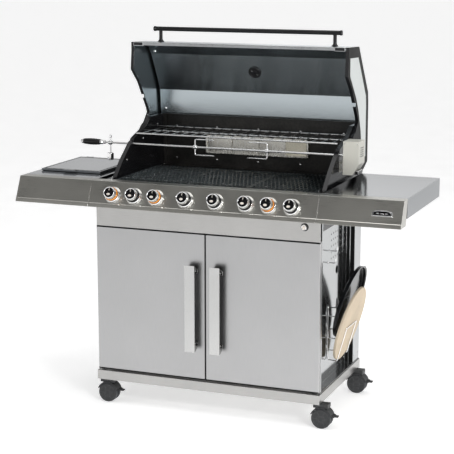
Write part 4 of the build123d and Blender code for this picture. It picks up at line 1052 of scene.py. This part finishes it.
def build_lever(corner):
    """A caster's brake lever: an eye on its pin and a ribbed foot pad."""
    body = f"caster_brake_{corner}"
    low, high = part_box(body)
    pin_x, pin_z, half, eye = low.x + 0.0038, (low.z + high.z) / 2, 0.003, 0.0039 * 0.97
    mesh = bmesh.new()
    pin = axes((pin_x, high.y, pin_z), FRONT, RIGHT)
    outline_plate(mesh, [(eye * x, eye * y) for x, y in circle(24)], pin, high.y - low.y)
    bar(mesh, (pin_x + 0.0025, low.y, pin_z - half), (high.x, high.y, pin_z + half), 0.0018)
    pitch, thick, inset = 0.0035, 0.0008, 0.002
    for rib in range(1, 4):
        x = high.x - rib * pitch
        bar(mesh, (x - thick, low.y + inset, pin_z + 0.0026), (x + thick, high.y - inset, pin_z + 0.0036),
            0.0003)
    piece(f"caster_{corner}_lever", mesh, [caster_plastic], body, "caster_plastic", body)


for corner in CORNERS:
    build_wheels(corner)
    build_lever(corner)
    fork = f"caster_swivel_{corner}"
    softened(fork, 0.0012, fork, "caster_plastic", [caster_plastic], shortest=0.005)


# ------------------------ floor, light and camera
FLOOR_HALF, FLOOR_Z = 400.0, -0.0005
SKY_ENDS = (0.8, 1.0)
SKY_LEVELS = ((0.14, 0.75), (0.3, 0.24), (0.42, 0.12), (0.74, 0.14), (0.88, 0.85))
SKY_STRENGTH = 1.15
CAMERA_PLACE = (2.2001, -5.6162, 1.9634)
CAMERA_DOWN, CAMERA_TURN = radians(11.272), radians(21.526)


def area_light(name, place, target, size, power):
    """A soft rectangular light aimed at a point."""
    data = bpy.data.lights.new(name, "AREA")
    data.shape = "RECTANGLE"
    data.size, data.size_y = size
    data.energy = power
    lamp = bpy.data.objects.new(name, data)
    lamp.location = place
    lamp.rotation_euler = (Vector(target) - Vector(place)).to_track_quat("-Z", "Y").to_euler()
    SCENE.collection.objects.link(lamp)


floor_mesh = bpy.data.meshes.new("floor")
floor_corners = [(x * FLOOR_HALF, y * FLOOR_HALF, FLOOR_Z) for x, y in ((-1, -1), (1, -1), (1, 1), (-1, 1))]
floor_mesh.from_pydata(floor_corners, [], [(0, 1, 2, 3)])
floor_mesh.materials.append(floor_paint)
floor = bpy.data.objects.new("floor", floor_mesh)
SCENE.collection.objects.link(floor)

world = bpy.data.worlds.new("studio")
world.use_nodes = True
SCENE.world = world
sky = world.node_tree
where = sky.nodes.new("ShaderNodeTexCoord")
split = sky.nodes.new("ShaderNodeSeparateXYZ")
height_ramp = sky.nodes.new("ShaderNodeValToRGB")
stops = height_ramp.color_ramp.elements
for stop, level in zip(stops, SKY_ENDS):
    stop.color = (level, level, level, 1)
for position, level in SKY_LEVELS:
    stops.new(position).color = (level, level, level, 1)
sky.links.new(where.outputs["Generated"], split.inputs[0])
sky.links.new(split.outputs["Z"], height_ramp.inputs["Fac"])
sky.links.new(height_ramp.outputs["Color"], sky.nodes["Background"].inputs["Color"])
sky.nodes["Background"].inputs["Strength"].default_value = SKY_STRENGTH

area_light("overhead", (0.6, -0.3, 4.2), (0.1, 0, 0.8), (4.0, 3.2), 40)
area_light("left_window", (-4.2, -2.0, 2.0), (0, 0, 0.8), (1.6, 3.0), 18)
area_light("right_window", (4.4, -1.6, 1.8), (0, 0, 0.7), (1.4, 3.0), 30)
area_light("key_box", (3.3, -3.2, 2.5), (0, 0, 0.95), (0.8, 0.8), 75)
area_light("behind", (0.6, 4.6, 2.8), (0, 0, 1.2), (5.0, 2.0), 16)

camera_data = bpy.data.cameras.new("camera")
camera_data.lens = 112.83
camera_data.sensor_width = 36.0
camera_data.clip_end = 1000.0
camera = bpy.data.objects.new("camera", camera_data)
camera.location = CAMERA_PLACE
camera.rotation_euler = (pi / 2 - CAMERA_DOWN, 0, CAMERA_TURN)
SCENE.collection.objects.link(camera)
SCENE.camera = camera
SCENE.view_settings.view_transform = "Standard"
SCENE.view_settings.look = "None"
